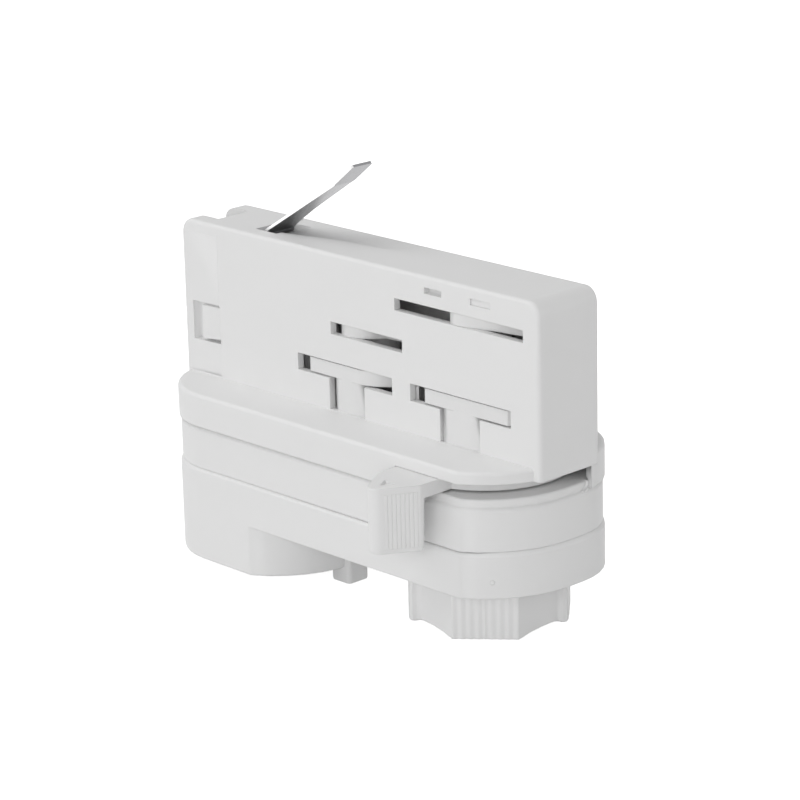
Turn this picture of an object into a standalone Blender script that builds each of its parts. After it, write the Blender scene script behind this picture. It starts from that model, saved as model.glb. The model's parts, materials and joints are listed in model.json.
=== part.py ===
"""Track light adapter: a plug-in head for a three-circuit lighting track, with a locking
lever, a circuit selector knob, a sprung earth blade and a seat for a light fitting.

X runs along the track, Y across it and Z up into it. Along X the sizes are measured from
the left end of the head. The origin is in the middle of the head's length and width, at
the height of the ledge that the track rests on.
"""

from math import acos, asin, cos, degrees, pi, radians, sin, sqrt, tan

import bmesh
import bpy
from mathutils import Matrix, Vector

# Clearances
GAP = 0.0003
BEARING_GAP = 0.0003
BACKLASH = 0.00034

# Head, the narrow part that enters the track
BODY_LENGTH = 0.0924
HEAD_WIDTH = 0.0150
HEAD_HEIGHT = 0.0296
HEAD_WALL = 0.0014
HEAD_END_WALL = 0.0048
HEAD_FAR_WALL = 0.0016
HEAD_ROOF = 0.0016
HEAD_THICK_ROOF = 0.0046
HEAD_END_ROUNDING = 0.0028
HEAD_RIM_ROUNDING = 0.0008

# Wide housing under the ledge
HOUSING_WIDTH = 0.0348
HOUSING_CORNER = 0.0140
DRUM_STAND_OUT = 0.0025
FLANGE_THICKNESS = 0.0022
FLANGE_ROUNDING = 0.0007
SKIRT_DEPTH = 0.00633
SKIRT_WALL = 0.0018
LAP_HEIGHT = 0.00143
LAP_INSET = 0.0011
LAP_WALL = 0.0008
BAND_INSET = 0.00035
BASE_HEIGHT = 0.00787
BASE_WALL = 0.00155
BASE_ROUNDING = 0.0008
BASE_ROOF = 0.0018
GEAR_PLATE_THICKNESS = 0.0015
GEAR_PLATE_START = 0.0265
COVER_HEIGHT = 0.0081
COVER_WALL = 0.0018
COVER_FLOOR = 0.0018
COVER_ROUNDING = 0.0006
COVER_PAD_RADIUS = 0.0042
COVER_PAD_HEIGHT = 0.0020

# Fixture boss and its anti-rotation peg
BOSS_STAND_OUT = 0.0026
BOSS_X = 0.0175
BOSS_HEIGHT = 0.0098
BOSS_WALL = 0.0020
BOSS_FLOOR = 0.0022
PEG_X = 0.0359
PEG_LENGTH = 0.0050
PEG_WIDTH = 0.0052
PEG_REACH = 0.0031
PEG_ROUNDING = 0.0009

# Axes of the two rotors
ROTOR_SPACING = 0.02825

# Lever
LEVER_DISC_RADIUS = 0.0152
LEVER_THICKNESS = 0.0023
LEVER_ARM_WIDTH = 0.0104
LEVER_TAB_INNER = 0.0210
LEVER_TAB_ROOT = 0.0218
LEVER_TAB_REACH = 0.0286
LEVER_TAB_DEPTH = 0.0144
LEVER_NOSE_RADIUS = 0.0019
LEVER_NOSE_SLOPE = 30.0
LEVER_MARK_DEPTH = 0.0003
LEVER_MARK_SIZE = 0.0022
LEVER_MARK_REACH = 0.0261
LEVER_WINDOW_BACK = 0.0055

# Gears between the two rotors
GEAR_TEETH = 24
GEAR_THICKNESS = 0.0030
GEAR_PRESSURE_ANGLE = 20.0
GEAR_ADDENDUM_SHARE = 0.8
GEAR_SQUARE = 0.0074
FLANK_STEPS = 4

# Locking rotors
NECK_RADIUS = 0.0073
NECK_HEIGHT = 0.0060
JOURNAL_RADIUS = 0.0056
LUG_THICKNESS = 0.0027
LUG_HALF_WIDTH = 0.0072
LUG_TIP_SHARE = 0.35
RIGHT_LUG_RADII = (0.0140, 0.0127)
RIGHT_LUG_LEAD = 0.00815
LEFT_LUG_RADII = (0.0120, 0.0120)
LEFT_LUG_LEAD = 0.0055
SLEEVE_RADIUS = 0.0046
LEFT_SPINDLE_RADIUS = 0.0025
LEFT_FOOT_RADIUS = 0.0020
CARRIER_SQUARE = 0.0034

# Contact carriers and their blades
CARRIER_THICKNESS = 0.0019
CARRIER_HEEL = 0.00135
CARRIER_CHEEK_RADIUS = 0.0069
CARRIER_BACK_RADIUS = 0.0058
CARRIER_ARM_HALF = 0.0031
PHASE_DROP = 0.0065
PHASE_REACH = 0.0150
NEUTRAL_DROP = 0.01395
NEUTRAL_REACH = 0.0137
BLADE_THICKNESS = 0.0005
BLADE_WIDTH = 0.0036
BLADE_OVERHANG = 0.0009
BLADE_START = 0.0044

# Openings in the head for the lugs and contacts, from each rotor's axis
PHASE_SLOT = (-0.01505, 0.01615)
PHASE_SLOT_HEIGHT = 0.0022
NEUTRAL_SLOT = (-0.0035, 0.0149)
NEUTRAL_SLOT_HEIGHT = 0.0023
LUG_SLOT_LEFT = (-0.0126, 0.0121)
LUG_SLOT_RIGHT = (-0.01155, 0.01305)
NECK_SLOT_LEFT = (-0.0043, 0.0049)
NECK_SLOT_RIGHT = (-0.00415, 0.00555)
LUG_SLOT_CLEARANCE = 0.00025
KEY_RECESSES = ((0.0650, 0.0692), (0.0762, 0.0810))
KEY_RECESS_DROP = 0.0032
KEY_RECESS_HEIGHT = 0.0011
KEY_RECESS_DEPTH = 0.0006

# Left end of the head
END_NOTCH = (-0.0039, 0.0035)
END_NOTCH_DEPTH = 0.0030
TOP_NOTCH_DEPTH = 0.0067
TOP_NOTCH_HEIGHT = 0.0030
TAPER_X = 0.01005
TAPER_DROP = 0.0022
TAPER_DEPTH = 0.0005
HOOK_WINDOW = (0.0025, 0.0102)
HOOK_WINDOW_BOTTOM = 0.0064
HOOK_WINDOW_HEIGHT = 0.0074

# Earth spring, its trough and strip
TROUGH_START = 0.0190
TROUGH_BEND = 0.0360
TROUGH_END = 0.0520
TROUGH_DEPTH = 0.0026
TROUGH_BEND_DEPTH = 0.0015
TROUGH_RIM = (-0.0042, -0.0001, 0.0014)
TROUGH_BACK = 0.0064
TROUGH_OVERLAP = 0.0006
SPRING_X = 0.0182
SPRING_DROP = 0.0013
SPRING_THICKNESS = 0.0005
SPRING_ROOT_WIDTH = 0.0082
SPRING_NECK_WIDTH = 0.0044
SPRING_FLARE = 0.0035
SPRING_FLARE_SHARE = 0.75
SPRING_FLARE_END = 0.0100
SPRING_FIRST_LENGTH = 0.02265
SPRING_FIRST_ANGLE = 33.0
SPRING_PADDLE_WIDTH = 0.0050
SPRING_PADDLE_LENGTH = 0.0064
SPRING_PADDLE_ANGLE = 39.0
SPRING_SLOT = (-0.0012, 0.0052)
SPRING_EYE_RADIUS = 0.0007
STRIP_THICKNESS = 0.0006
STRIP_WIDTH = 0.0040
STRIP_TAIL = 0.0045

# Insert that holds the earth spring, with its snap hooks
INSERT_END = 0.0285
INSERT_HEIGHT = 0.0140
INSERT_POST_HALF = 0.0044
INSERT_POST_DROP = 0.0052
HOOK_HEIGHT = 0.0066
HOOK_STAND_OUT = 0.0013

# Selector
SHAFT_RADIUS = 0.0025
SHAFT_TOP_RADIUS = 0.0016
SHAFT_KNOB_SQUARE = 0.0034
KNOB_HEIGHT = 0.0095
KNOB_FACE = 0.0143
KNOB_FACE_WIDTH = 0.0114
KNOB_HUB_RADIUS = 0.0118
KNOB_LOBE_TAPER = 0.0005
KNOB_RIBS = 7
KNOB_RIB_DEPTH = 0.00035
KNOB_RIB_PROFILE = ((0.3, 0.0), (0.5, KNOB_RIB_DEPTH), (0.8, KNOB_RIB_DEPTH))
KNOB_WALL = 0.0024
CAM_SIZE = 0.0100
CAM_CORNER = 0.0016
CAM_THICKNESS = 0.0030
DETENT_THICKNESS = 0.0004
DETENT_HEIGHT = 0.0026
DETENT_SPAN = 0.0180
DETENT_NOSE = 0.0011

# Terminals
BLOCK_X = (0.0330, 0.0500)
BLOCK_MARGIN = 0.0033
BLOCK_HEIGHT = 0.0082
TERMINAL_PITCH_SHARE = 0.312
CLAMP_WIDTH_SHARE = 0.206
CLAMP_HEIGHT_SHARE = 0.708
CLAMP_BORE_SHARE = 0.62
CLAMP_LENGTH = 0.0090
TERMINAL_SCREW_RADIUS = 0.0013
TERMINAL_SCREW_HEAD = 0.0021

# Fasteners and nipple
NIPPLE_RADIUS = 0.0050
NIPPLE_BORE = 0.0040
NIPPLE_HEIGHT = 0.0100
NUT_WIDTH = 0.0140
NUT_HEIGHT = 0.0030
COVER_SCREW_Y = 0.0122
COVER_SCREW_RADIUS = 0.0012
COVER_SCREW_HEAD = 0.0024
COVER_SCREW_HEAD_HEIGHT = 0.0016
COVER_SCREW_LENGTH = 0.0085
SCREW_SLOT_SHARE = 0.4
POST_RADIUS = 0.0028

# Fineness of round shapes
ARC_STEP = 10.0
CYLINDER_SIDES = 36
SMALL_SIDES = 20
EYE_SIDES = 12
NUT_SIDES = 6
SHARP_ANGLE = 32.0
FLAT_ANGLE = 0.5
WELD_DISTANCE = 0.000001
LEVEL_TOLERANCE = 0.00001
EMPTY_SIZE = 0.005

# Levels and places that follow from the sizes
HEAD_HALF = HEAD_WIDTH / 2
HOUSING_HALF = HOUSING_WIDTH / 2
DRUM_RADIUS = HOUSING_HALF + DRUM_STAND_OUT
BOSS_RADIUS = HOUSING_HALF + BOSS_STAND_OUT
RIGHT_X = BODY_LENGTH - DRUM_RADIUS
LEFT_X = RIGHT_X - ROTOR_SPACING
BASE_TOP = -SKIRT_DEPTH - GAP
BASE_BOTTOM = BASE_TOP - BASE_HEIGHT
COVER_TOP = BASE_BOTTOM - GAP
COVER_BOTTOM = COVER_TOP - COVER_HEIGHT
BOSS_BOTTOM = COVER_BOTTOM - BOSS_HEIGHT
LEVER_TOP = -FLANGE_THICKNESS - GAP
LEVER_BOTTOM = LEVER_TOP - LEVER_THICKNESS
LIP_TOP = -SKIRT_DEPTH + LAP_HEIGHT - GAP
BASE_CEILING = LIP_TOP - BASE_ROOF
GEAR_TOP = BASE_CEILING - GAP
GEAR_BOTTOM = GEAR_TOP - GEAR_THICKNESS
PLATE_TOP = GEAR_BOTTOM - GAP
PLATE_BOTTOM = PLATE_TOP - GEAR_PLATE_THICKNESS
NECK_BOTTOM = GAP
NECK_TOP = NECK_BOTTOM + NECK_HEIGHT
PHASE_LEVEL = HEAD_HEIGHT - PHASE_DROP
NEUTRAL_LEVEL = HEAD_HEIGHT - NEUTRAL_DROP
SPRING_Z = HEAD_HEIGHT - SPRING_DROP
INSERT_POST_TOP = HEAD_HEIGHT - INSERT_POST_DROP
LUG_BOTTOM = NECK_TOP
LUG_TOP = LUG_BOTTOM + LUG_THICKNESS
ROOF_LEVEL = HEAD_HEIGHT - HEAD_ROOF
THICK_ROOF_LEVEL = HEAD_HEIGHT - HEAD_THICK_ROOF
CAVITY_HALF = HEAD_HALF - HEAD_WALL
KNOB_TOP = COVER_BOTTOM - GAP
KNOB_BOTTOM = KNOB_TOP - KNOB_HEIGHT
CAM_TOP = PLATE_BOTTOM - GAP
CAM_BOTTOM = CAM_TOP - CAM_THICKNESS
BLOCK_TOP = PLATE_BOTTOM - GAP
BLOCK_BOTTOM = BLOCK_TOP - BLOCK_HEIGHT
COVER_FLOOR_TOP = COVER_BOTTOM + COVER_FLOOR
COVER_SCREW_X = LEFT_X + ROTOR_SPACING / 2
KEY_HOLE_RADIUS = GEAR_SQUARE / sqrt(2) + BEARING_GAP
BLOCK_WIDTH = HOUSING_WIDTH - 2 * BLOCK_MARGIN
TERMINAL_PITCH = BLOCK_WIDTH * TERMINAL_PITCH_SHARE
CLAMP_WIDTH = BLOCK_WIDTH * CLAMP_WIDTH_SHARE
CLAMP_HEIGHT = BLOCK_HEIGHT * CLAMP_HEIGHT_SHARE
CLAMP_BORE_WIDTH = CLAMP_WIDTH * CLAMP_BORE_SHARE
CLAMP_BORE_HEIGHT = CLAMP_HEIGHT * CLAMP_BORE_SHARE


def clear_scene():
    for item in list(bpy.data.objects):
        bpy.data.objects.remove(item, do_unlink=True)


def make_collection(name):
    collection = bpy.data.collections.new(name)
    bpy.context.scene.collection.children.link(collection)
    return collection


def make_material(name, colour, roughness, metallic=0.0):
    material = bpy.data.materials.new(name)
    material.use_nodes = True
    shader = material.node_tree.nodes["Principled BSDF"]
    shader.inputs["Base Color"].default_value = (*colour, 1.0)
    shader.inputs["Roughness"].default_value = roughness
    shader.inputs["Metallic"].default_value = metallic
    material.diffuse_color = (*colour, 1.0)
    return material


def empty_at(name, x, y, z, parent=None):
    empty = bpy.data.objects.new(name, None)
    empty.empty_display_size = EMPTY_SIZE
    empty.location = (x, y, z)
    empty.parent = parent
    PARTS.objects.link(empty)
    return empty


def mesh_object(name, mesh, parent):
    item = bpy.data.objects.new(name, mesh)
    item.parent = parent
    PARTS.objects.link(item)
    return item


def from_bmesh(name, shape, parent):
    mesh = bpy.data.meshes.new(name)
    shape.to_mesh(mesh)
    shape.free()
    return mesh_object(name, mesh, parent)


def box(name, parent, x_range, y_range, z_range):
    """A block between two values on each axis."""
    shape = bmesh.new()
    bmesh.ops.create_cube(shape, size=1.0)
    spans = (x_range, y_range, z_range)
    size = Vector([high - low for low, high in spans])
    centre = Vector([(high + low) / 2 for low, high in spans])
    bmesh.ops.scale(shape, vec=size, verts=shape.verts)
    bmesh.ops.translate(shape, vec=centre, verts=shape.verts)
    return from_bmesh(name, shape, parent)


def cylinder(name, parent, radius, z_range, centre=(0.0, 0.0), sides=CYLINDER_SIDES):
    """An upright cylinder between two heights."""
    shape = bmesh.new()
    bmesh.ops.create_cone(
        shape, cap_ends=True, segments=sides, radius1=radius, radius2=radius,
        depth=z_range[1] - z_range[0])
    middle = (z_range[0] + z_range[1]) / 2
    bmesh.ops.translate(shape, vec=(centre[0], centre[1], middle), verts=shape.verts)
    return from_bmesh(name, shape, parent)


def arc(centre, radius, start, end):
    """Points on an arc, in degrees, both ends included."""
    steps = max(2, round(abs(end - start) / ARC_STEP))
    points = []
    for index in range(steps + 1):
        angle = radians(start + (end - start) * index / steps)
        points.append((centre[0] + radius * cos(angle), centre[1] + radius * sin(angle)))
    return points


def plate(name, parent, outline, z_range):
    """A flat outline given its thickness, as one closed mesh with single-face caps."""
    curve = bpy.data.curves.new(name, "CURVE")
    curve.dimensions = "2D"
    curve.fill_mode = "BOTH"
    curve.extrude = (z_range[1] - z_range[0]) / 2
    spline = curve.splines.new("POLY")
    spline.points.add(len(outline) - 1)
    for point, (x, y) in zip(spline.points, outline):
        point.co = (x, y, 0.0, 1.0)
    spline.use_cyclic_u = True
    guide = bpy.data.objects.new(name + "_outline", curve)
    bpy.context.scene.collection.objects.link(guide)
    evaluated = guide.evaluated_get(bpy.context.evaluated_depsgraph_get())
    mesh = bpy.data.meshes.new_from_object(evaluated)
    bpy.data.objects.remove(guide, do_unlink=True)
    bpy.data.curves.remove(curve)
    shape = bmesh.new()
    shape.from_mesh(mesh)
    bpy.data.meshes.remove(mesh)
    bmesh.ops.remove_doubles(shape, verts=shape.verts, dist=WELD_DISTANCE)
    bmesh.ops.dissolve_limit(
        shape, angle_limit=radians(FLAT_ANGLE), verts=shape.verts, edges=shape.edges)
    bmesh.ops.recalc_face_normals(shape, faces=shape.faces)
    middle = (z_range[0] + z_range[1]) / 2
    bmesh.ops.translate(shape, vec=(0.0, 0.0, middle), verts=shape.verts)
    return from_bmesh(name, shape, parent)


def upright_plate(name, parent, outline, y_range):
    """A plate whose outline is drawn in X and Z and whose thickness runs along Y."""
    item = plate(name, parent, outline, (-y_range[1], -y_range[0]))
    item.data.transform(Matrix.Rotation(radians(90), 4, "X"))
    return item


def turned(name, parent, profile, centre=(0.0, 0.0), sides=SMALL_SIDES, closed=False):
    """A turned piece: the profile (radius, height) runs from top to bottom."""
    mesh = bpy.data.meshes.new(name)
    points = [(radius, 0.0, height) for radius, height in profile]
    edges = [(index, index + 1) for index in range(len(points) - 1)]
    if closed:
        edges.append((len(points) - 1, 0))
    mesh.from_pydata(points, edges, [])
    item = mesh_object(name, mesh, parent)
    item.location = (centre[0], centre[1], 0.0)
    screw = item.modifiers.new("turn", "SCREW")
    screw.steps = sides
    screw.render_steps = sides
    screw.use_merge_vertices = True
    screw.merge_threshold = WELD_DISTANCE
    return item


def round_edges(item, width, chooser, segments=3):
    """Round the edges that the chooser picks by their two ends."""
    shape = bmesh.new()
    shape.from_mesh(item.data)
    layer = shape.edges.layers.float.new("bevel_weight_edge")
    for edge in shape.edges:
        if chooser(edge.verts[0].co, edge.verts[1].co):
            edge[layer] = 1.0
    shape.to_mesh(item.data)
    shape.free()
    bevel = item.modifiers.new("rounding", "BEVEL")
    bevel.limit_method = "WEIGHT"
    bevel.width = width
    bevel.segments = segments


def at_height(level):
    """A chooser for the edges that lie at one height."""
    def choose(first, second):
        return max(abs(first.z - level), abs(second.z - level)) < LEVEL_TOLERANCE
    return choose


def use_tool(target, tool, operation):
    modifier = target.modifiers.new(tool.name, "BOOLEAN")
    modifier.operation = operation
    modifier.solver = "EXACT"
    modifier.object = tool
    weld = target.modifiers.new("weld_" + tool.name, "WELD")
    weld.merge_threshold = WELD_DISTANCE
    PARTS.objects.unlink(tool)
    CUTTERS.objects.link(tool)
    tool.hide_render = True
    tool.display_type = "WIRE"


def cut(target, tool):
    use_tool(target, tool, "DIFFERENCE")


def join(target, tool):
    use_tool(target, tool, "UNION")


def finish(item, material, smooth=True):
    item.data.materials.append(material)
    if smooth:
        item.data.shade_smooth()
        item.data.set_sharp_from_angle(angle=radians(SHARP_ANGLE))
    return item


def housing_outline(inset):
    """The wide housing in plan: three round corners and the drum about the lever's axis."""
    half = HOUSING_HALF - inset
    corner = HOUSING_CORNER - inset
    drum = DRUM_RADIUS - inset
    near = -HOUSING_HALF + HOUSING_CORNER
    kink = -degrees(asin(half / drum))
    points = arc((HOUSING_CORNER, near), corner, 180, 270)
    points += arc((RIGHT_X, 0.0), drum, kink, 0)
    points += arc((BODY_LENGTH - HOUSING_CORNER, -near), corner, 0, 90)
    points += arc((HOUSING_CORNER, -near), corner, 90, 180)
    return points


def boss_outline(inset):
    """The housing's left end in plan, cut off by the circle of the fixture's rose."""
    half = HOUSING_HALF - inset
    corner = HOUSING_CORNER - inset
    radius = BOSS_RADIUS - inset
    near = -HOUSING_HALF + HOUSING_CORNER
    reach = degrees(asin(half / radius))
    points = arc((HOUSING_CORNER, near), corner, 180, 270)
    points += arc((BOSS_X, 0.0), radius, -reach, reach)
    points += arc((HOUSING_CORNER, -near), corner, 90, 180)
    return points


def rounded_rectangle(x_range, y_range, radius):
    x0, x1 = x_range
    y0, y1 = y_range
    points = arc((x0 + radius, y0 + radius), radius, 180, 270)
    points += arc((x1 - radius, y0 + radius), radius, 270, 360)
    points += arc((x1 - radius, y1 - radius), radius, 0, 90)
    points += arc((x0 + radius, y1 - radius), radius, 90, 180)
    return points


def head_block(parent):
    """The head's outer block, with round top corners and rims."""
    side = [(0.0, -FLANGE_THICKNESS), (BODY_LENGTH, -FLANGE_THICKNESS)]
    top = HEAD_HEIGHT - HEAD_END_ROUNDING
    side += arc((BODY_LENGTH - HEAD_END_ROUNDING, top), HEAD_END_ROUNDING, 0, 90)
    side += arc((HEAD_END_ROUNDING, top), HEAD_END_ROUNDING, 90, 180)
    block = upright_plate("contact_housing", parent, side, (-HEAD_HALF, HEAD_HALF))

    def rim(first, second):
        same_side = abs(first.y - second.y) < LEVEL_TOLERANCE
        return same_side and max(first.z, second.z) > 0.0

    round_edges(block, HEAD_RIM_ROUNDING, rim)
    return block


def slot_through(housing, name, axis_x, x_range, z_range):
    """A slot through the front and the back wall, alike in both."""
    ends = (axis_x + x_range[0], axis_x + x_range[1])
    outer = HEAD_HALF + GAP
    cut(housing, box(name, housing.parent, ends, (-outer, outer), z_range))


def cut_slots(housing):
    """The slots that the lugs, their necks and the contacts turn out through."""
    half = PHASE_SLOT_HEIGHT / 2
    slot_through(housing, "phase_slot", RIGHT_X, PHASE_SLOT,
                 (PHASE_LEVEL - half, PHASE_LEVEL + half))
    half = NEUTRAL_SLOT_HEIGHT / 2
    front = box("neutral_slot", housing.parent,
                (LEFT_X + NEUTRAL_SLOT[0], LEFT_X + NEUTRAL_SLOT[1]),
                (-HEAD_HALF - GAP, -CAVITY_HALF + GAP),
                (NEUTRAL_LEVEL - half, NEUTRAL_LEVEL + half))
    cut(housing, front)
    lug_levels = (LUG_BOTTOM - LUG_SLOT_CLEARANCE, LUG_TOP + LUG_SLOT_CLEARANCE)
    slot_through(housing, "left_lug_slot", LEFT_X, LUG_SLOT_LEFT, lug_levels)
    slot_through(housing, "right_lug_slot", RIGHT_X, LUG_SLOT_RIGHT, lug_levels)
    neck_levels = (NECK_BOTTOM - GAP / 2, LUG_BOTTOM)
    slot_through(housing, "left_neck_slot", LEFT_X, NECK_SLOT_LEFT, neck_levels)
    slot_through(housing, "right_neck_slot", RIGHT_X, NECK_SLOT_RIGHT, neck_levels)
    for index, x_range in enumerate(KEY_RECESSES):
        bottom = HEAD_HEIGHT - KEY_RECESS_DROP
        recess = box("key_recess_%d" % index, housing.parent, x_range,
                     (-HEAD_HALF - GAP, -HEAD_HALF + KEY_RECESS_DEPTH),
                     (bottom, bottom + KEY_RECESS_HEIGHT))
        cut(housing, recess)


def cut_left_end(housing):
    """The keyway in the end, the tapered cheeks and the windows for the snap hooks."""
    parent = housing.parent
    above = HEAD_HEIGHT + GAP
    cut(housing, box("end_notch", parent, (-GAP, END_NOTCH_DEPTH), END_NOTCH, (GAP, above)))
    cut(housing, box("top_notch", parent, (-GAP, TOP_NOTCH_DEPTH), END_NOTCH,
                     (HEAD_HEIGHT - TOP_NOTCH_HEIGHT, above)))
    window = (HOOK_WINDOW_BOTTOM, HOOK_WINDOW_BOTTOM + HOOK_WINDOW_HEIGHT)
    for name, side in (("front", -1), ("back", 1)):
        outer = side * (HEAD_HALF + GAP)
        inner = side * (CAVITY_HALF - GAP)
        depth = sorted((outer, inner))
        cut(housing, box("hook_window_" + name, parent, HOOK_WINDOW, depth, window))
        wedge = [(-GAP, -HEAD_HALF - GAP), (TAPER_X, -HEAD_HALF - GAP),
                 (TAPER_X, -HEAD_HALF + TAPER_DEPTH), (-GAP, -HEAD_HALF)]
        taper = plate("taper_" + name, parent, wedge, (GAP, HEAD_HEIGHT - TAPER_DROP))
        if side > 0:
            taper.data.transform(Matrix.Scale(-1, 4, (0, 1, 0)))
            taper.data.flip_normals()
        cut(housing, taper)


def hull(name, parent, points):
    """The convex body around a few corner points."""
    shape = bmesh.new()
    for point in points:
        shape.verts.new(point)
    bmesh.ops.convex_hull(shape, input=shape.verts)
    bmesh.ops.recalc_face_normals(shape, faces=shape.faces)
    return from_bmesh(name, shape, parent)


def cut_trough(housing):
    """The scooped trough that takes the earth spring, deepest at its root."""
    above = HEAD_HEIGHT + 2 * GAP
    stations = (TROUGH_START, TROUGH_BEND, TROUGH_END)
    depths = (TROUGH_DEPTH, TROUGH_BEND_DEPTH, 0.0)
    for index, name in enumerate(("trough_root", "trough_run")):
        length = stations[index + 1] - stations[index]
        lead = TROUGH_OVERLAP * index / length
        corners = []
        for share in (-lead, 1.0):
            x = stations[index] + share * length
            rim = TROUGH_RIM[index] + share * (TROUGH_RIM[index + 1] - TROUGH_RIM[index])
            depth = depths[index] + share * (depths[index + 1] - depths[index])
            corners.append((x, rim, HEAD_HEIGHT - depth))
            corners.append((x, TROUGH_BACK, HEAD_HEIGHT))
            corners.append((x, rim, above))
            corners.append((x, TROUGH_BACK, above))
        cut(housing, hull(name, housing.parent, corners))


def build_contact_housing(root, plastic):
    """The head, the ledge and the skirt, moulded in one, with the rotors' chambers."""
    housing = head_block(root)
    skirt = plate("flange_and_skirt", root, housing_outline(0.0), (-SKIRT_DEPTH, 0.0))
    round_edges(skirt, FLANGE_ROUNDING, at_height(0.0))
    join(housing, skirt)
    below = -SKIRT_DEPTH - GAP
    room = plate("skirt_room", root, housing_outline(SKIRT_WALL), (below, -FLANGE_THICKNESS))
    cut(housing, room)
    lap = plate("skirt_lap", root, housing_outline(LAP_WALL),
                (below, -SKIRT_DEPTH + LAP_HEIGHT))
    cut(housing, lap)
    window = box("lever_window", root,
                 (RIGHT_X - LEVER_ARM_WIDTH / 2 - GAP, BODY_LENGTH + SKIRT_WALL),
                 (-HOUSING_HALF - SKIRT_WALL, LEVER_WINDOW_BACK),
                 (below, -FLANGE_THICKNESS))
    cut(housing, window)
    step_x = TROUGH_END + HEAD_WALL
    low_room = box("insert_chamber", root, (HEAD_END_WALL, step_x + GAP),
                   (-CAVITY_HALF, CAVITY_HALF), (0.0, THICK_ROOF_LEVEL))
    cut(housing, low_room)
    high_room = box("rotor_chamber", root, (step_x, BODY_LENGTH - HEAD_FAR_WALL),
                    (-CAVITY_HALF, CAVITY_HALF), (0.0, ROOF_LEVEL))
    cut(housing, high_room)
    pivot = cylinder("selector_top_bearing", root, SHAFT_TOP_RADIUS + 2 * HEAD_WALL,
                     (PHASE_LEVEL + PHASE_SLOT_HEIGHT / 2 + GAP, HEAD_HEIGHT - HEAD_ROOF / 2),
                     (RIGHT_X, 0.0), SMALL_SIDES)
    join(housing, pivot)
    bearing = cylinder("selector_top_hole", root, SHAFT_TOP_RADIUS + BEARING_GAP,
                       (PHASE_LEVEL, ROOF_LEVEL - GAP), (RIGHT_X, 0.0), SMALL_SIDES)
    cut(housing, bearing)
    spindle_hole = cylinder("left_spindle_hole", root, LEFT_SPINDLE_RADIUS + BEARING_GAP,
                            (THICK_ROOF_LEVEL - GAP, THICK_ROOF_LEVEL + HEAD_ROOF),
                            (LEFT_X, 0.0), SMALL_SIDES)
    cut(housing, spindle_hole)
    for name, x in (("right_journal_hole", RIGHT_X), ("left_journal_hole", LEFT_X)):
        hole = cylinder(name, root, JOURNAL_RADIUS + BEARING_GAP,
                        (-FLANGE_THICKNESS - GAP, GAP), (x, 0.0))
        cut(housing, hole)
    cut_slots(housing)
    cut_left_end(housing)
    cut_trough(housing)
    spring_slot = box("spring_slot", root, (SPRING_X + SPRING_SLOT[0], SPRING_X + SPRING_SLOT[1]),
                      (-SPRING_ROOT_WIDTH / 2 - GAP, SPRING_ROOT_WIDTH / 2 + GAP),
                      (INSERT_POST_TOP, HEAD_HEIGHT + GAP))
    cut(housing, spring_slot)
    strip_hole = box("strip_hole", root, strip_span(GAP), strip_side(GAP),
                     (-FLANGE_THICKNESS - GAP, GAP))
    cut(housing, strip_hole)
    return finish(housing, plastic)


def strip_span(extra):
    """The earth strip's thickness along X, widened by a clearance."""
    return (SPRING_X - STRIP_THICKNESS / 2 - extra, SPRING_X + STRIP_THICKNESS / 2 + extra)


def strip_side(extra):
    return (-STRIP_WIDTH / 2 - extra, STRIP_WIDTH / 2 + extra)


def cover_screw_places():
    return (("front", (COVER_SCREW_X, -COVER_SCREW_Y)), ("back", (COVER_SCREW_X, COVER_SCREW_Y)))


def build_base_housing(root, plastic):
    """The middle band: a roof with a lip into the skirt, and posts for the cover's screws."""
    base = plate("base_housing", root, housing_outline(BAND_INSET), (BASE_BOTTOM, BASE_TOP))
    round_edges(base, BASE_ROUNDING, at_height(BASE_TOP))
    lip = plate("base_lip", root, housing_outline(LAP_INSET), (BASE_CEILING, LIP_TOP))
    join(base, lip)
    room = plate("gear_room", root, housing_outline(BAND_INSET + BASE_WALL),
                 (BASE_BOTTOM - GAP, BASE_CEILING))
    cut(base, room)
    for name, place in cover_screw_places():
        post = cylinder("post_" + name, root, POST_RADIUS,
                        (COVER_FLOOR_TOP + COVER_PAD_HEIGHT + GAP, LIP_TOP - BASE_ROOF / 2),
                        place, SMALL_SIDES)
        join(base, post)
        thread = cylinder("post_hole_" + name, root, COVER_SCREW_RADIUS + GAP,
                          (COVER_BOTTOM, BASE_CEILING - GAP), place, SMALL_SIDES)
        cut(base, thread)
    for name, x in (("right_key_hole", RIGHT_X), ("left_key_hole", LEFT_X)):
        hole = cylinder(name, root, KEY_HOLE_RADIUS, (BASE_CEILING - GAP, LIP_TOP + GAP),
                        (x, 0.0))
        cut(base, hole)
    strip_hole = box("base_strip_hole", root, strip_span(GAP), strip_side(GAP),
                     (BASE_CEILING - GAP, LIP_TOP + GAP))
    cut(base, strip_hole)
    return finish(base, plastic)


def build_gear_plate(root, plastic):
    """The plate under the gears, with the bearings of the left rotor and the selector."""
    inset = BAND_INSET + BASE_WALL + GAP
    gear_plate = plate("gear_plate", root, housing_outline(inset), (PLATE_BOTTOM, PLATE_TOP))
    end = box("gear_plate_end", root, (-GAP, GEAR_PLATE_START), (-HOUSING_HALF, HOUSING_HALF),
              (PLATE_BOTTOM - GAP, PLATE_TOP + GAP))
    cut(gear_plate, end)
    holes = [("plate_shaft_hole", SHAFT_RADIUS + BEARING_GAP, (RIGHT_X, 0.0)),
             ("plate_foot_hole", LEFT_FOOT_RADIUS + BEARING_GAP, (LEFT_X, 0.0))]
    for name, place in cover_screw_places():
        holes.append(("plate_post_hole_" + name, POST_RADIUS + GAP, place))
    for name, radius, place in holes:
        hole = cylinder(name, root, radius, (PLATE_BOTTOM - GAP, PLATE_TOP + GAP), place,
                        SMALL_SIDES)
        cut(gear_plate, hole)
    return finish(gear_plate, plastic)


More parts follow.
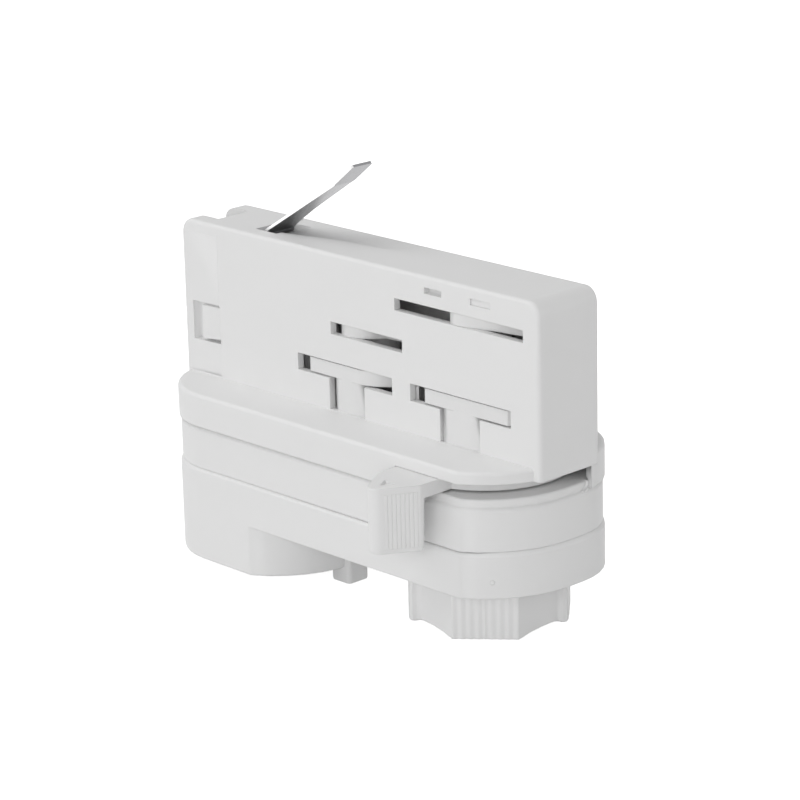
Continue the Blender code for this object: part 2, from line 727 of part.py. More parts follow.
def build_bottom_cover(root, plastic):
    """The lower band with its floor, the fixture boss and the anti-rotation peg."""
    cover = plate("bottom_cover", root, housing_outline(0.0), (COVER_BOTTOM, COVER_TOP))
    round_edges(cover, COVER_ROUNDING, at_height(COVER_TOP), 2)
    middle = (COVER_BOTTOM + COVER_TOP) / 2
    boss = plate("boss", root, boss_outline(0.0), (BOSS_BOTTOM, middle))
    round_edges(boss, COVER_ROUNDING, at_height(BOSS_BOTTOM), 2)
    join(cover, boss)
    peg = plate("peg", root,
                rounded_rectangle((PEG_X - PEG_LENGTH / 2, PEG_X + PEG_LENGTH / 2),
                                  (-PEG_WIDTH / 2, PEG_WIDTH / 2), PEG_ROUNDING),
                (BOSS_BOTTOM - PEG_REACH, COVER_BOTTOM + COVER_FLOOR / 2))
    round_edges(peg, PEG_ROUNDING / 2, at_height(BOSS_BOTTOM - PEG_REACH), 2)
    join(cover, peg)
    room = plate("cover_room", root, housing_outline(COVER_WALL),
                 (COVER_FLOOR_TOP, COVER_TOP + GAP))
    cut(cover, room)
    boss_room = plate("boss_room", root, boss_outline(BOSS_WALL),
                      (BOSS_BOTTOM + BOSS_FLOOR, COVER_FLOOR_TOP + GAP))
    cut(cover, boss_room)
    for name, place in cover_screw_places():
        pad = cylinder("screw_pad_" + name, root, COVER_PAD_RADIUS,
                       (COVER_BOTTOM + COVER_FLOOR / 2, COVER_FLOOR_TOP + COVER_PAD_HEIGHT),
                       place, SMALL_SIDES)
        join(cover, pad)
    nipple_hole = cylinder("nipple_hole", root, NIPPLE_RADIUS + GAP,
                           (BOSS_BOTTOM - GAP, BOSS_BOTTOM + BOSS_FLOOR + GAP),
                           (BOSS_X, 0.0), CYLINDER_SIDES)
    cut(cover, nipple_hole)
    shaft_hole = cylinder("cover_shaft_hole", root, SHAFT_RADIUS + BEARING_GAP,
                          (COVER_BOTTOM - GAP, COVER_FLOOR_TOP + GAP),
                          (RIGHT_X, 0.0), SMALL_SIDES)
    cut(cover, shaft_hole)
    for name, place in cover_screw_places():
        hole = cylinder("screw_hole_" + name, root, COVER_SCREW_RADIUS + GAP,
                        (COVER_BOTTOM - GAP, COVER_FLOOR_TOP + COVER_PAD_HEIGHT + GAP),
                        place, SMALL_SIDES)
        cut(cover, hole)
        sink = cylinder("screw_sink_" + name, root, COVER_SCREW_HEAD + GAP,
                        (COVER_BOTTOM - GAP, COVER_BOTTOM + COVER_SCREW_HEAD_HEIGHT + 2 * GAP),
                        place, SMALL_SIDES)
        cut(cover, sink)
    return finish(cover, plastic)


def tab_outline():
    """The lever's tab in plan, a wedge that narrows from its root to a round nose."""
    half = LEVER_ARM_WIDTH / 2
    centre_y = -LEVER_TAB_REACH + LEVER_NOSE_RADIUS
    points = [(half, -LEVER_TAB_INNER), (-half, -LEVER_TAB_INNER), (-half, -LEVER_TAB_ROOT)]
    points += arc((0.0, centre_y), LEVER_NOSE_RADIUS, 180 + LEVER_NOSE_SLOPE,
                  360 - LEVER_NOSE_SLOPE)
    points.append((half, -LEVER_TAB_ROOT))
    return points


def build_lever(axis, plastic):
    """The disc around the rotor, the arm through the skirt's window and the finger tab."""
    lever = cylinder("lever", axis, LEVER_DISC_RADIUS, (LEVER_BOTTOM, LEVER_TOP))
    half = LEVER_ARM_WIDTH / 2
    arm = box("lever_arm", axis, (-half, half), (-LEVER_TAB_INNER - GAP, 0.0),
              (LEVER_BOTTOM, LEVER_TOP))
    join(lever, arm)
    tab = plate("lever_tab", axis, tab_outline(), (-LEVER_TAB_DEPTH, LEVER_TOP))
    round_edges(tab, LEVER_NOSE_RADIUS / 3, at_height(-LEVER_TAB_DEPTH), 2)
    join(lever, tab)
    square = (-GEAR_SQUARE / 2 - GAP, GEAR_SQUARE / 2 + GAP)
    hole = box("lever_square", axis, square, square, (LEVER_BOTTOM - GAP, LEVER_TOP + GAP))
    cut(lever, hole)
    corner = LEVER_MARK_SIZE
    mark = plate("lever_mark", axis,
                 [(-corner / 2, -LEVER_MARK_REACH + corner), (0.0, -LEVER_MARK_REACH),
                  (corner / 2, -LEVER_MARK_REACH + corner)],
                 (LEVER_TOP - LEVER_MARK_DEPTH, LEVER_TOP + GAP))
    cut(lever, mark)
    return finish(lever, plastic)


def gear_outline(phase):
    """Involute teeth; the phase, in teeth, turns the gear so that a pair meshes."""
    pitch_radius = ROTOR_SPACING / 2
    module = 2 * pitch_radius / GEAR_TEETH
    addendum = GEAR_ADDENDUM_SHARE * module
    tip_radius = pitch_radius + addendum
    root_radius = pitch_radius - addendum - GAP
    base_radius = pitch_radius * cos(radians(GEAR_PRESSURE_ANGLE))
    half_tooth = pi / 2 / GEAR_TEETH - BACKLASH / 2 / pitch_radius

    def involute(radius):
        roll = acos(min(1.0, base_radius / radius))
        return tan(roll) - roll

    flank = [(root_radius, 0.0)]
    for step in range(FLANK_STEPS):
        radius = base_radius + (tip_radius - base_radius) * step / (FLANK_STEPS - 1)
        flank.append((radius, involute(radius)))
    at_pitch = involute(pitch_radius)
    points = []
    for tooth in range(GEAR_TEETH):
        middle = 2 * pi * (tooth + phase) / GEAR_TEETH
        for radius, angle in flank:
            turn = middle - half_tooth - at_pitch + angle
            points.append((radius * cos(turn), radius * sin(turn)))
        for radius, angle in reversed(flank):
            turn = middle + half_tooth + at_pitch - angle
            points.append((radius * cos(turn), radius * sin(turn)))
    return points


def build_gear(name, axis, phase, plastic):
    gear = plate(name, axis, gear_outline(phase), (GEAR_BOTTOM, GEAR_TOP))
    square = (-GEAR_SQUARE / 2 - GAP, GEAR_SQUARE / 2 + GAP)
    hole = box(name + "_square", axis, square, square, (GEAR_BOTTOM - GAP, GEAR_TOP + GAP))
    cut(gear, hole)
    return finish(gear, plastic)


def lug_outline(radii, lead, turn):
    """A locking lug: two flat cheeks whose leading corners fall away towards the tips."""
    cheek = LUG_HALF_WIDTH
    points = []
    for radius, side in zip(radii, (1, -1)):
        trail = sqrt(radius * radius - cheek * cheek)
        corner = degrees(asin(cheek / radius))
        half = [(-lead, -cheek), (trail, -cheek)]
        half += arc((0.0, 0.0), radius, -corner, corner * LUG_TIP_SHARE)
        points += [(x * side, y * side) for x, y in half]
    if turn < 0:
        points = [(-x, y) for x, y in reversed(points)]
    return points


def build_rotor_body(name, axis, radii, lead, turn):
    """Journal, neck and lug, which the two rotors have alike."""
    rotor = cylinder(name, axis, NECK_RADIUS, (NECK_BOTTOM, NECK_TOP + GAP))
    lug = plate(name + "_lug", axis, lug_outline(radii, lead, turn), (LUG_BOTTOM, LUG_TOP))
    join(rotor, lug)
    journal = cylinder(name + "_journal", axis, JOURNAL_RADIUS,
                       (LEVER_TOP + GAP, NECK_BOTTOM + GAP))
    join(rotor, journal)
    return rotor


def build_right_rotor(axis, plastic):
    """The rotor that the lever turns; the selector's shaft runs through its bore."""
    rotor = build_rotor_body("right_lock_rotor", axis, RIGHT_LUG_RADII, RIGHT_LUG_LEAD, 1)
    side = (-GEAR_SQUARE / 2, GEAR_SQUARE / 2)
    key = box("right_rotor_key", axis, side, side, (GEAR_BOTTOM, LEVER_TOP + 2 * GAP))
    join(rotor, key)
    sleeve_top = PHASE_LEVEL - CARRIER_THICKNESS / 2 - GAP
    sleeve = cylinder("right_rotor_sleeve", axis, SLEEVE_RADIUS, (LUG_TOP - GAP, sleeve_top),
                      sides=SMALL_SIDES)
    join(rotor, sleeve)
    bore = cylinder("right_rotor_bore", axis, SHAFT_RADIUS + BEARING_GAP,
                    (GEAR_BOTTOM - GAP, sleeve_top + GAP), sides=SMALL_SIDES)
    cut(rotor, bore)
    return finish(rotor, plastic)


def build_left_rotor(axis, plastic):
    """The rotor that the gears turn the other way; it carries the neutral contact."""
    rotor = build_rotor_body("left_lock_rotor", axis, LEFT_LUG_RADII, LEFT_LUG_LEAD, -1)
    side = (-GEAR_SQUARE / 2, GEAR_SQUARE / 2)
    key = box("left_rotor_key", axis, side, side, (GEAR_BOTTOM, LEVER_TOP + 2 * GAP))
    join(rotor, key)
    foot = cylinder("left_rotor_foot", axis, LEFT_FOOT_RADIUS,
                    (PLATE_BOTTOM, GEAR_BOTTOM + GAP), sides=SMALL_SIDES)
    join(rotor, foot)
    sleeve_top = NEUTRAL_LEVEL - CARRIER_THICKNESS / 2 - GAP
    sleeve = cylinder("left_rotor_sleeve", axis, SLEEVE_RADIUS, (LUG_TOP - GAP, sleeve_top),
                      sides=SMALL_SIDES)
    join(rotor, sleeve)
    square = (-CARRIER_SQUARE / 2, CARRIER_SQUARE / 2)
    carrier_top = NEUTRAL_LEVEL + CARRIER_THICKNESS / 2
    carrier_key = box("left_carrier_key", axis, square, square,
                      (sleeve_top - GAP, carrier_top + 2 * GAP))
    join(rotor, carrier_key)
    spindle = cylinder("left_spindle", axis, LEFT_SPINDLE_RADIUS,
                       (carrier_top + GAP, THICK_ROOF_LEVEL + HEAD_ROOF - GAP),
                       sides=SMALL_SIDES)
    join(rotor, spindle)
    return finish(rotor, plastic)


def carrier_outline(reach):
    """A contact arm on a disc that is wider over its leading cheek, from the heel on."""
    tip = BLADE_WIDTH / 2 + 2 * GAP
    cheek = CARRIER_CHEEK_RADIUS
    back = CARRIER_BACK_RADIUS
    heel = degrees(asin(CARRIER_HEEL / cheek))
    points = arc((0.0, 0.0), cheek, -90 - heel, -degrees(asin(CARRIER_ARM_HALF / cheek)))
    points += [(reach, -tip), (reach, tip)]
    heel = degrees(asin(CARRIER_HEEL / back))
    points += arc((0.0, 0.0), back, degrees(asin(CARRIER_ARM_HALF / back)), 270 - heel)
    return points


def build_carrier(name, axis, level, reach, plastic):
    """A contact carrier, keyed on its rotor, with a pocket for the blade."""
    span = (level - CARRIER_THICKNESS / 2, level + CARRIER_THICKNESS / 2)
    carrier = plate(name, axis, carrier_outline(reach), span)
    side = (-CARRIER_SQUARE / 2 - GAP, CARRIER_SQUARE / 2 + GAP)
    hole = box(name + "_square", axis, side, side, (span[0] - GAP, span[1] + GAP))
    cut(carrier, hole)
    pocket = box(name + "_pocket", axis, (BLADE_START - GAP, reach + GAP),
                 (-BLADE_WIDTH / 2 - GAP, BLADE_WIDTH / 2 + GAP),
                 (level - BLADE_THICKNESS / 2 - GAP, span[1] + GAP))
    cut(carrier, pocket)
    return finish(carrier, plastic)


def build_blade(name, axis, level, reach, metal):
    """The contact blade in its pocket, with a round tip that meets the track's wire."""
    half = BLADE_WIDTH / 2
    end = reach + BLADE_OVERHANG
    outline = [(BLADE_START, -half)] + arc((end - half, 0.0), half, -90, 90)
    outline.append((BLADE_START, half))
    blade = plate(name, axis, outline,
                  (level - BLADE_THICKNESS / 2, level + BLADE_THICKNESS / 2))
    return finish(blade, metal)


def build_selector_shaft(axis, plastic):
    """The shaft from the knob to the phase contact, through the rotor."""
    carrier_bottom = PHASE_LEVEL - CARRIER_THICKNESS / 2
    shaft = cylinder("selector_shaft", axis, SHAFT_RADIUS,
                     (KNOB_TOP, carrier_bottom - GAP), sides=SMALL_SIDES)
    square = (-CARRIER_SQUARE / 2, CARRIER_SQUARE / 2)
    carrier_top = PHASE_LEVEL + CARRIER_THICKNESS / 2
    upper = box("shaft_carrier_key", axis, square, square,
                (carrier_bottom - 2 * GAP, carrier_top + GAP))
    join(shaft, upper)
    pivot = cylinder("shaft_top_pivot", axis, SHAFT_TOP_RADIUS,
                     (carrier_top, ROOF_LEVEL - 2 * GAP), sides=SMALL_SIDES)
    join(shaft, pivot)
    knob_key = (-SHAFT_KNOB_SQUARE / 2, SHAFT_KNOB_SQUARE / 2)
    lower = box("shaft_knob_key", axis, knob_key, knob_key,
                (KNOB_BOTTOM + KNOB_WALL + GAP, KNOB_TOP + GAP))
    join(shaft, lower)
    return finish(shaft, plastic)


def knob_outline():
    """Four ribbed grip lobes on the diagonals of a round hub."""
    half = KNOB_FACE_WIDTH / 2
    pitch = KNOB_FACE_WIDTH / KNOB_RIBS
    root = degrees(asin((half + KNOB_LOBE_TAPER) / KNOB_HUB_RADIUS))
    points = []
    for quarter in range(4):
        turn = pi / 4 + pi / 2 * quarter
        lobe = [(KNOB_FACE, -half)]
        for rib in range(KNOB_RIBS):
            for share, depth in KNOB_RIB_PROFILE:
                lobe.append((KNOB_FACE - depth, -half + pitch * (rib + share)))
        lobe.append((KNOB_FACE, half))
        lobe += arc((0.0, 0.0), KNOB_HUB_RADIUS, root, 90 - root)
        for x, y in lobe:
            points.append((x * cos(turn) - y * sin(turn), x * sin(turn) + y * cos(turn)))
    return points


def build_knob(axis, plastic):
    """The selector knob, with a square socket for its shaft."""
    knob = plate("selector_knob", axis, knob_outline(), (KNOB_BOTTOM, KNOB_TOP))
    side = (-SHAFT_KNOB_SQUARE / 2 - GAP, SHAFT_KNOB_SQUARE / 2 + GAP)
    socket = box("knob_socket", axis, side, side, (KNOB_BOTTOM + KNOB_WALL, KNOB_TOP + GAP))
    cut(knob, socket)
    return finish(knob, plastic)


def build_detent_cam(axis, plastic):
    """The square cam that gives the knob its four positions."""
    half = CAM_SIZE / 2
    cam = plate("detent_cam", axis, rounded_rectangle((-half, half), (-half, half), CAM_CORNER),
                (CAM_BOTTOM, CAM_TOP))
    bore = cylinder("cam_bore", axis, SHAFT_RADIUS + GAP, (CAM_BOTTOM - GAP, CAM_TOP + GAP),
                    sides=SMALL_SIDES)
    cut(cam, bore)
    return finish(cam, plastic)


def build_detent_spring(axis, steel):
    """A flat spring beside the cam, held at its two bent ends under the deck."""
    reach = (CAM_SIZE / 2 - CAM_CORNER) * sqrt(2) + CAM_CORNER + GAP
    half = DETENT_SPAN / 2
    nose = DETENT_NOSE
    inner = [(-half, reach + nose), (-nose * 2, reach + nose), (-nose / 2, reach),
             (nose / 2, reach), (nose * 2, reach + nose), (half, reach + nose)]
    outer = [(x, y + DETENT_THICKNESS) for x, y in reversed(inner)]
    spring = plate("detent_spring", axis, inner + outer,
                   (CAM_TOP - DETENT_HEIGHT, CAM_TOP))
    return finish(spring, steel)


def build_earth_spring(axis, metal):
    """The bright earth blade: a wide root, a neck and a flat paddle at its tip."""
    half = SPRING_THICKNESS / 2
    root_half = SPRING_ROOT_WIDTH / 2
    neck_half = SPRING_NECK_WIDTH / 2
    paddle_half = SPRING_PADDLE_WIDTH / 2
    corner = paddle_half - neck_half
    blade = [(SPRING_EYE_RADIUS / 2, -root_half), (SPRING_FLARE, -root_half),
             (SPRING_FIRST_LENGTH, -neck_half), (SPRING_FIRST_LENGTH, neck_half),
             (SPRING_FLARE_END, neck_half), (SPRING_FLARE, root_half * SPRING_FLARE_SHARE),
             (SPRING_EYE_RADIUS / 2, root_half)]
    spring = plate("earth_spring", axis, blade, (-half, half))
    spring.data.transform(Matrix.Rotation(-radians(SPRING_FIRST_ANGLE), 4, "Y"))
    tip = [(-half, -neck_half), (corner, -paddle_half),
           (SPRING_PADDLE_LENGTH - corner, -paddle_half), (SPRING_PADDLE_LENGTH, -neck_half),
           (SPRING_PADDLE_LENGTH, neck_half), (SPRING_PADDLE_LENGTH - corner, paddle_half),
           (corner, paddle_half), (-half, neck_half)]
    paddle = plate("spring_paddle", axis, tip, (-half, half))
    paddle.data.transform(Matrix.Rotation(-radians(SPRING_PADDLE_ANGLE), 4, "Y"))
    angle = radians(SPRING_FIRST_ANGLE)
    shift = (SPRING_FIRST_LENGTH * cos(angle), 0.0, SPRING_FIRST_LENGTH * sin(angle))
    paddle.data.transform(Matrix.Translation(shift))
    join(spring, paddle)
    eye = cylinder("spring_eye", axis, SPRING_EYE_RADIUS, (-root_half, root_half),
                   sides=EYE_SIDES)
    eye.data.transform(Matrix.Rotation(radians(90), 4, "X"))
    join(spring, eye)
    return finish(spring, metal)


def build_insert(root, plastic):
    """The insert in the head's left end: it holds the earth spring and snaps in place."""
    insert = box("spring_insert", root, (HEAD_END_WALL + GAP, INSERT_END),
                 (-CAVITY_HALF + GAP, CAVITY_HALF - GAP), (GAP, INSERT_HEIGHT))
    post_span = (SPRING_X - INSERT_POST_HALF, SPRING_X + INSERT_POST_HALF)
    post = box("insert_post", root, post_span, (-CAVITY_HALF + GAP, CAVITY_HALF - GAP),
               (INSERT_HEIGHT - GAP, INSERT_POST_TOP))
    join(insert, post)
    hook_start = HEAD_END_WALL + GAP
    middle = HOOK_WINDOW_BOTTOM + HOOK_WINDOW_HEIGHT / 2
    bottom = middle - HOOK_HEIGHT / 2
    top = middle + HOOK_HEIGHT / 2
    for name, side in (("front", -1), ("back", 1)):
        flush = side * (CAVITY_HALF - 2 * GAP)
        proud = side * (CAVITY_HALF + HOOK_STAND_OUT)
        points = []
        for x in (hook_start, HOOK_WINDOW[1] - GAP):
            points.append((x, flush, bottom))
            points.append((x, flush, top))
            points.append((x, proud, bottom))
            points.append((x, proud - side * HOOK_STAND_OUT / 2, top))
        join(insert, hull("snap_hook_" + name, root, points))
    slot = box("insert_strip_slot", root, strip_span(GAP), strip_side(GAP),
               (0.0, INSERT_POST_TOP + GAP))
    cut(insert, slot)
    return finish(insert, plastic)


def build_earth_strip(root, metal):
    """The strip from the earth spring's root down to the wiring room."""
    strip = box("earth_strip", root, strip_span(0.0), strip_side(0.0),
                (BASE_CEILING - STRIP_TAIL, SPRING_Z - SPRING_EYE_RADIUS - GAP))
    return finish(strip, metal, smooth=False)


def terminal_places():
    return ((-TERMINAL_PITCH, "phase"), (0.0, "earth"), (TERMINAL_PITCH, "neutral"))


def build_terminal_block(root, plastic):
    """The block under the deck, with a pocket for each clamp and a hole for its screw."""
    block = box("terminal_block", root, BLOCK_X, (-BLOCK_WIDTH / 2, BLOCK_WIDTH / 2),
                (BLOCK_BOTTOM, BLOCK_TOP))
    half = CLAMP_WIDTH / 2 + GAP
    rise = CLAMP_HEIGHT / 2 + GAP
    level = (BLOCK_TOP + BLOCK_BOTTOM) / 2
    for y, name in terminal_places():
        pocket = box("pocket_" + name, root, (BLOCK_X[0] - GAP, BLOCK_X[0] + CLAMP_LENGTH + 2 * GAP),
                     (y - half, y + half), (level - rise, level + rise))
        cut(block, pocket)
        hole = cylinder("block_hole_" + name, root, TERMINAL_SCREW_HEAD + GAP,
                        (BLOCK_BOTTOM - GAP, level), (clamp_x(), y), SMALL_SIDES)
        cut(block, hole)
    return finish(block, plastic, smooth=False)


def clamp_x():
    return BLOCK_X[0] + GAP + CLAMP_LENGTH / 2


def build_clamp(root, y, name, metal):
    """A brass cage with a bore for the wire and a threaded hole for the screw."""
    half = CLAMP_WIDTH / 2
    rise = CLAMP_HEIGHT / 2
    level = (BLOCK_TOP + BLOCK_BOTTOM) / 2
    clamp = box(name + "_clamp", root, (BLOCK_X[0] + GAP, BLOCK_X[0] + GAP + CLAMP_LENGTH),
                (y - half, y + half), (level - rise, level + rise))
    bore = box(name + "_bore", root, (BLOCK_X[0], BLOCK_X[0] + 2 * GAP + CLAMP_LENGTH),
               (y - CLAMP_BORE_WIDTH / 2, y + CLAMP_BORE_WIDTH / 2),
               (level - CLAMP_BORE_HEIGHT / 2, level + CLAMP_BORE_HEIGHT / 2))
    cut(clamp, bore)
    thread = cylinder(name + "_thread", root, TERMINAL_SCREW_RADIUS + GAP,
                      (level - rise - GAP, level), (clamp_x(), y), SMALL_SIDES)
    cut(clamp, thread)
    return finish(clamp, metal, smooth=False)


def slotted_screw(name, root, place, head, radius, head_height, length, top, metal):
    """A pan-head screw driven from below, with a slot across its head."""
    profile = [(0.0, top), (radius, top), (radius, top - length), (head, top - length),
               (head, top - length - head_height), (0.0, top - length - head_height)]
    screw = turned(name, root, profile, place)
    bottom = top - length - head_height
    half = head * SCREW_SLOT_SHARE / 2
    slot = box(name + "_slot", root, (place[0] - head - GAP, place[0] + head + GAP),
               (place[1] - half, place[1] + half), (bottom - GAP, bottom + head_height / 2))
    cut(screw, slot)
    return finish(screw, metal)


def build_terminal_screw(root, y, name, metal):
    level = (BLOCK_TOP + BLOCK_BOTTOM) / 2
    top = level - CLAMP_BORE_HEIGHT / 2 + GAP
    head_height = TERMINAL_SCREW_HEAD / 2
    length = CLAMP_HEIGHT / 2 - CLAMP_BORE_HEIGHT / 2 + 2 * GAP
    return slotted_screw(name + "_screw", root, (clamp_x(), y), TERMINAL_SCREW_HEAD,
                         TERMINAL_SCREW_RADIUS, head_height, length, top, metal)


def build_cover_screw(root, place, name, metal):
    top = COVER_BOTTOM + COVER_SCREW_HEAD_HEIGHT + GAP + COVER_SCREW_LENGTH
    return slotted_screw("cover_screw_" + name, root, place, COVER_SCREW_HEAD,
                         COVER_SCREW_RADIUS, COVER_SCREW_HEAD_HEIGHT, COVER_SCREW_LENGTH,
                         top, metal)


def build_nipple(root, metal):
    """The threaded tube that a light fitting screws on; the supply leads pass through it."""
    bottom = BOSS_BOTTOM + GAP
    profile = [(NIPPLE_BORE, bottom + NIPPLE_HEIGHT), (NIPPLE_RADIUS, bottom + NIPPLE_HEIGHT),
               (NIPPLE_RADIUS, bottom), (NIPPLE_BORE, bottom)]
    nipple = turned("mounting_nipple", root, profile, (BOSS_X, 0.0), CYLINDER_SIDES, True)
    return finish(nipple, metal)


def build_nipple_nut(root, metal):
    """The hexagon nut that holds the nipple to the boss's floor."""
    bottom = BOSS_BOTTOM + BOSS_FLOOR + GAP
    nut = cylinder("nipple_nut", root, NUT_WIDTH / sqrt(3), (bottom, bottom + NUT_HEIGHT),
                   (BOSS_X, 0.0), NUT_SIDES)
    hole = cylinder("nut_hole", root, NIPPLE_RADIUS + GAP,
                    (bottom - GAP, bottom + NUT_HEIGHT + GAP), (BOSS_X, 0.0))
    cut(nut, hole)
    return finish(nut, metal, smooth=False)


def build_adapter():
    white = make_material("white_plastic", (0.80, 0.80, 0.80), 0.45)
    rotor_white = make_material("rotor_plastic", (0.78, 0.78, 0.78), 0.40)
    brass = make_material("brass", (0.76, 0.58, 0.28), 0.30, 1.0)
    steel = make_material("zinc_steel", (0.62, 0.63, 0.65), 0.35, 1.0)
    spring_metal = make_material("bright_spring", (0.70, 0.70, 0.72), 0.22, 1.0)

    root = empty_at("adapter", -BODY_LENGTH / 2, 0.0, 0.0)
    lever_axis = empty_at("lever_axis", RIGHT_X, 0.0, 0.0, root)
    left_axis = empty_at("left_rotor_axis", LEFT_X, 0.0, 0.0, root)
    selector_axis = empty_at("selector_axis", RIGHT_X, 0.0, 0.0, root)
    spring_axis = empty_at("earth_spring_axis", SPRING_X, 0.0, SPRING_Z, root)

    build_contact_housing(root, white)
    build_base_housing(root, white)
    build_gear_plate(root, white)
    build_bottom_cover(root, white)
    build_lever(lever_axis, white)
    build_right_rotor(lever_axis, rotor_white)
    build_gear("drive_gear", lever_axis, 0.0, rotor_white)
    build_left_rotor(left_axis, rotor_white)
    build_gear("driven_gear", left_axis, 0.5, rotor_white)
    build_carrier("neutral_contact_carrier", left_axis, NEUTRAL_LEVEL, NEUTRAL_REACH, rotor_white)
    build_blade("neutral_contact", left_axis, NEUTRAL_LEVEL, NEUTRAL_REACH, brass)
    build_selector_shaft(selector_axis, rotor_white)
    build_knob(selector_axis, white)
    build_detent_cam(selector_axis, rotor_white)
    build_carrier("phase_contact_carrier", selector_axis, PHASE_LEVEL, PHASE_REACH, rotor_white)
    build_blade("phase_contact", selector_axis, PHASE_LEVEL, PHASE_REACH, brass)
    build_detent_spring(selector_axis, steel)
    build_earth_spring(spring_axis, spring_metal)
    build_insert(root, white)
    build_earth_strip(root, brass)
    build_terminal_block(root, white)
    for y, name in terminal_places():
        build_clamp(root, y, name, brass)
        build_terminal_screw(root, y, name, steel)
    for name, place in cover_screw_places():
        build_cover_screw(root, place, name, steel)
    build_nipple(root, steel)
    build_nipple_nut(root, steel)


clear_scene()
PARTS = make_collection("track_light_adapter")
CUTTERS = make_collection("cutters")
build_adapter()
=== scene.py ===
"""The look of the track light adapter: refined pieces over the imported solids, moulded
plastic and sheet metal materials, a pale studio and the photograph's camera.
"""

import json
from math import cos, pi, radians, sin, sqrt

import bmesh
import bpy
from mathutils import Matrix, Vector


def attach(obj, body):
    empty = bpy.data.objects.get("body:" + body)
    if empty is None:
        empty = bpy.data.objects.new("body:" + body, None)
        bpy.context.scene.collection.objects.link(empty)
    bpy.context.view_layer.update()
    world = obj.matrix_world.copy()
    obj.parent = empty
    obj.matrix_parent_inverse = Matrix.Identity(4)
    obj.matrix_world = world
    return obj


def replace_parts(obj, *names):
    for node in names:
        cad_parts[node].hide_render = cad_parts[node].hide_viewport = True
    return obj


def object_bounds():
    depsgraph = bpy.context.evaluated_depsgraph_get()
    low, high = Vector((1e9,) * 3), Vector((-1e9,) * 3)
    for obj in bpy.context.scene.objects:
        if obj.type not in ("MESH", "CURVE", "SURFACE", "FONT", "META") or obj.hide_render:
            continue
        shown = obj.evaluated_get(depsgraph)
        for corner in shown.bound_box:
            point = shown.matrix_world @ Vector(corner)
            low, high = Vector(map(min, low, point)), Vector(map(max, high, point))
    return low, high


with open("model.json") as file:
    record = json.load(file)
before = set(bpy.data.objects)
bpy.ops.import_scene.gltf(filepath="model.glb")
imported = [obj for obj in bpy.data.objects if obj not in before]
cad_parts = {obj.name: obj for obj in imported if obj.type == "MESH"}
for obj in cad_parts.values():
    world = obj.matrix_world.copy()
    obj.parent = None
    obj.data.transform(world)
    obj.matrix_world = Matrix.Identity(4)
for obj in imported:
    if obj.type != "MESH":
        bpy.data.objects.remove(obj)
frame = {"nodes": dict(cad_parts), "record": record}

CAD_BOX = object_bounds()
SCENE = bpy.context.scene
NODES = frame["nodes"]
BODY_OF = {node: body for body, nodes in frame["record"]["behaviour"]["bodies"].items()
           for node in nodes}
SLOT_OF = {entry["node"]: entry["material_slot"] for entry in frame["record"]["subparts"]}

# Camera, solved from the photograph
CAMERA_PLACE = (0.3973, -0.3761, 0.1713)
CAMERA_AZIMUTH = 46.26
CAMERA_ELEVATION = 17.26
CAMERA_ROLL = -1.37
CAMERA_LENS = 141.93
SENSOR_WIDTH = 36.0
NEAR_CLIP = 0.01

# Scales and depths of the patterns in plastic and metal
FLOW_SCALE = 55.0
PATCH_SCALE = 160.0
SPARK_SCALE = 5200.0
STREAK_SCALE = 900.0
PLASTIC_RELIEF = 0.00004
METAL_RELIEF = 0.00003
METAL_GRAIN = 0.12


def new_material(name):
    material = bpy.data.materials.new(name)
    material.use_nodes = True
    return material, material.node_tree, material.node_tree.nodes["Principled BSDF"]


def add(tree, kind, **settings):
    """A node with its properties and its unlinked inputs set by name."""
    node = tree.nodes.new(kind)
    for key, value in settings.items():
        if hasattr(node, key):
            setattr(node, key, value)
        else:
            node.inputs[key.replace("_", " ")].default_value = value
    return node


def noise(tree, coordinates, scale, detail=2.0, roughness=0.5):
    node = add(tree, "ShaderNodeTexNoise", Scale=scale, Detail=detail, Roughness=roughness)
    tree.links.new(coordinates, node.inputs["Vector"])
    return node.outputs["Fac"]


def ramp(tree, factor, low, high):
    """Maps 0..1 to a range of values or colours."""
    node = add(tree, "ShaderNodeMapRange")
    node.inputs["To Min"].default_value = low
    node.inputs["To Max"].default_value = high
    tree.links.new(factor, node.inputs["Value"])
    return node.outputs["Result"]


def uneven_normal(tree, shader, height, edge, grain, relief):
    """Softened edges with a fine relief over them."""
    rounding = add(tree, "ShaderNodeBevel", samples=4)
    rounding.inputs["Radius"].default_value = edge
    bump = add(tree, "ShaderNodeBump")
    bump.inputs["Strength"].default_value = grain
    bump.inputs["Distance"].default_value = relief
    tree.links.new(height, bump.inputs["Height"])
    tree.links.new(rounding.outputs["Normal"], bump.inputs["Normal"])
    tree.links.new(bump.outputs["Normal"], shader.inputs["Normal"])


def plastic(name, shade, roughness, grain, edge):
    """Satin moulded plastic: fine spark grain, faint flow shading and softened edges."""
    material, tree, shader = new_material(name)
    place = add(tree, "ShaderNodeTexCoord").outputs["Object"]
    flow = noise(tree, place, FLOW_SCALE, 3.0, 0.6)
    colour = add(tree, "ShaderNodeMix", data_type="RGBA")
    colour.inputs[6].default_value = (shade * 0.985, shade * 0.985, shade * 0.982, 1.0)
    colour.inputs[7].default_value = (shade, shade, shade, 1.0)
    tree.links.new(flow, colour.inputs[0])
    tree.links.new(colour.outputs[2], shader.inputs["Base Color"])
    patches = noise(tree, place, PATCH_SCALE, 2.0, 0.5)
    tree.links.new(ramp(tree, patches, roughness - 0.05, roughness + 0.06),
                   shader.inputs["Roughness"])
    spark = noise(tree, place, SPARK_SCALE, 2.0, 0.7)
    uneven_normal(tree, shader, spark, edge, grain, PLASTIC_RELIEF)
    shader.inputs["IOR"].default_value = 1.46
    shader.inputs["Specular IOR Level"].default_value = 0.35
    return material


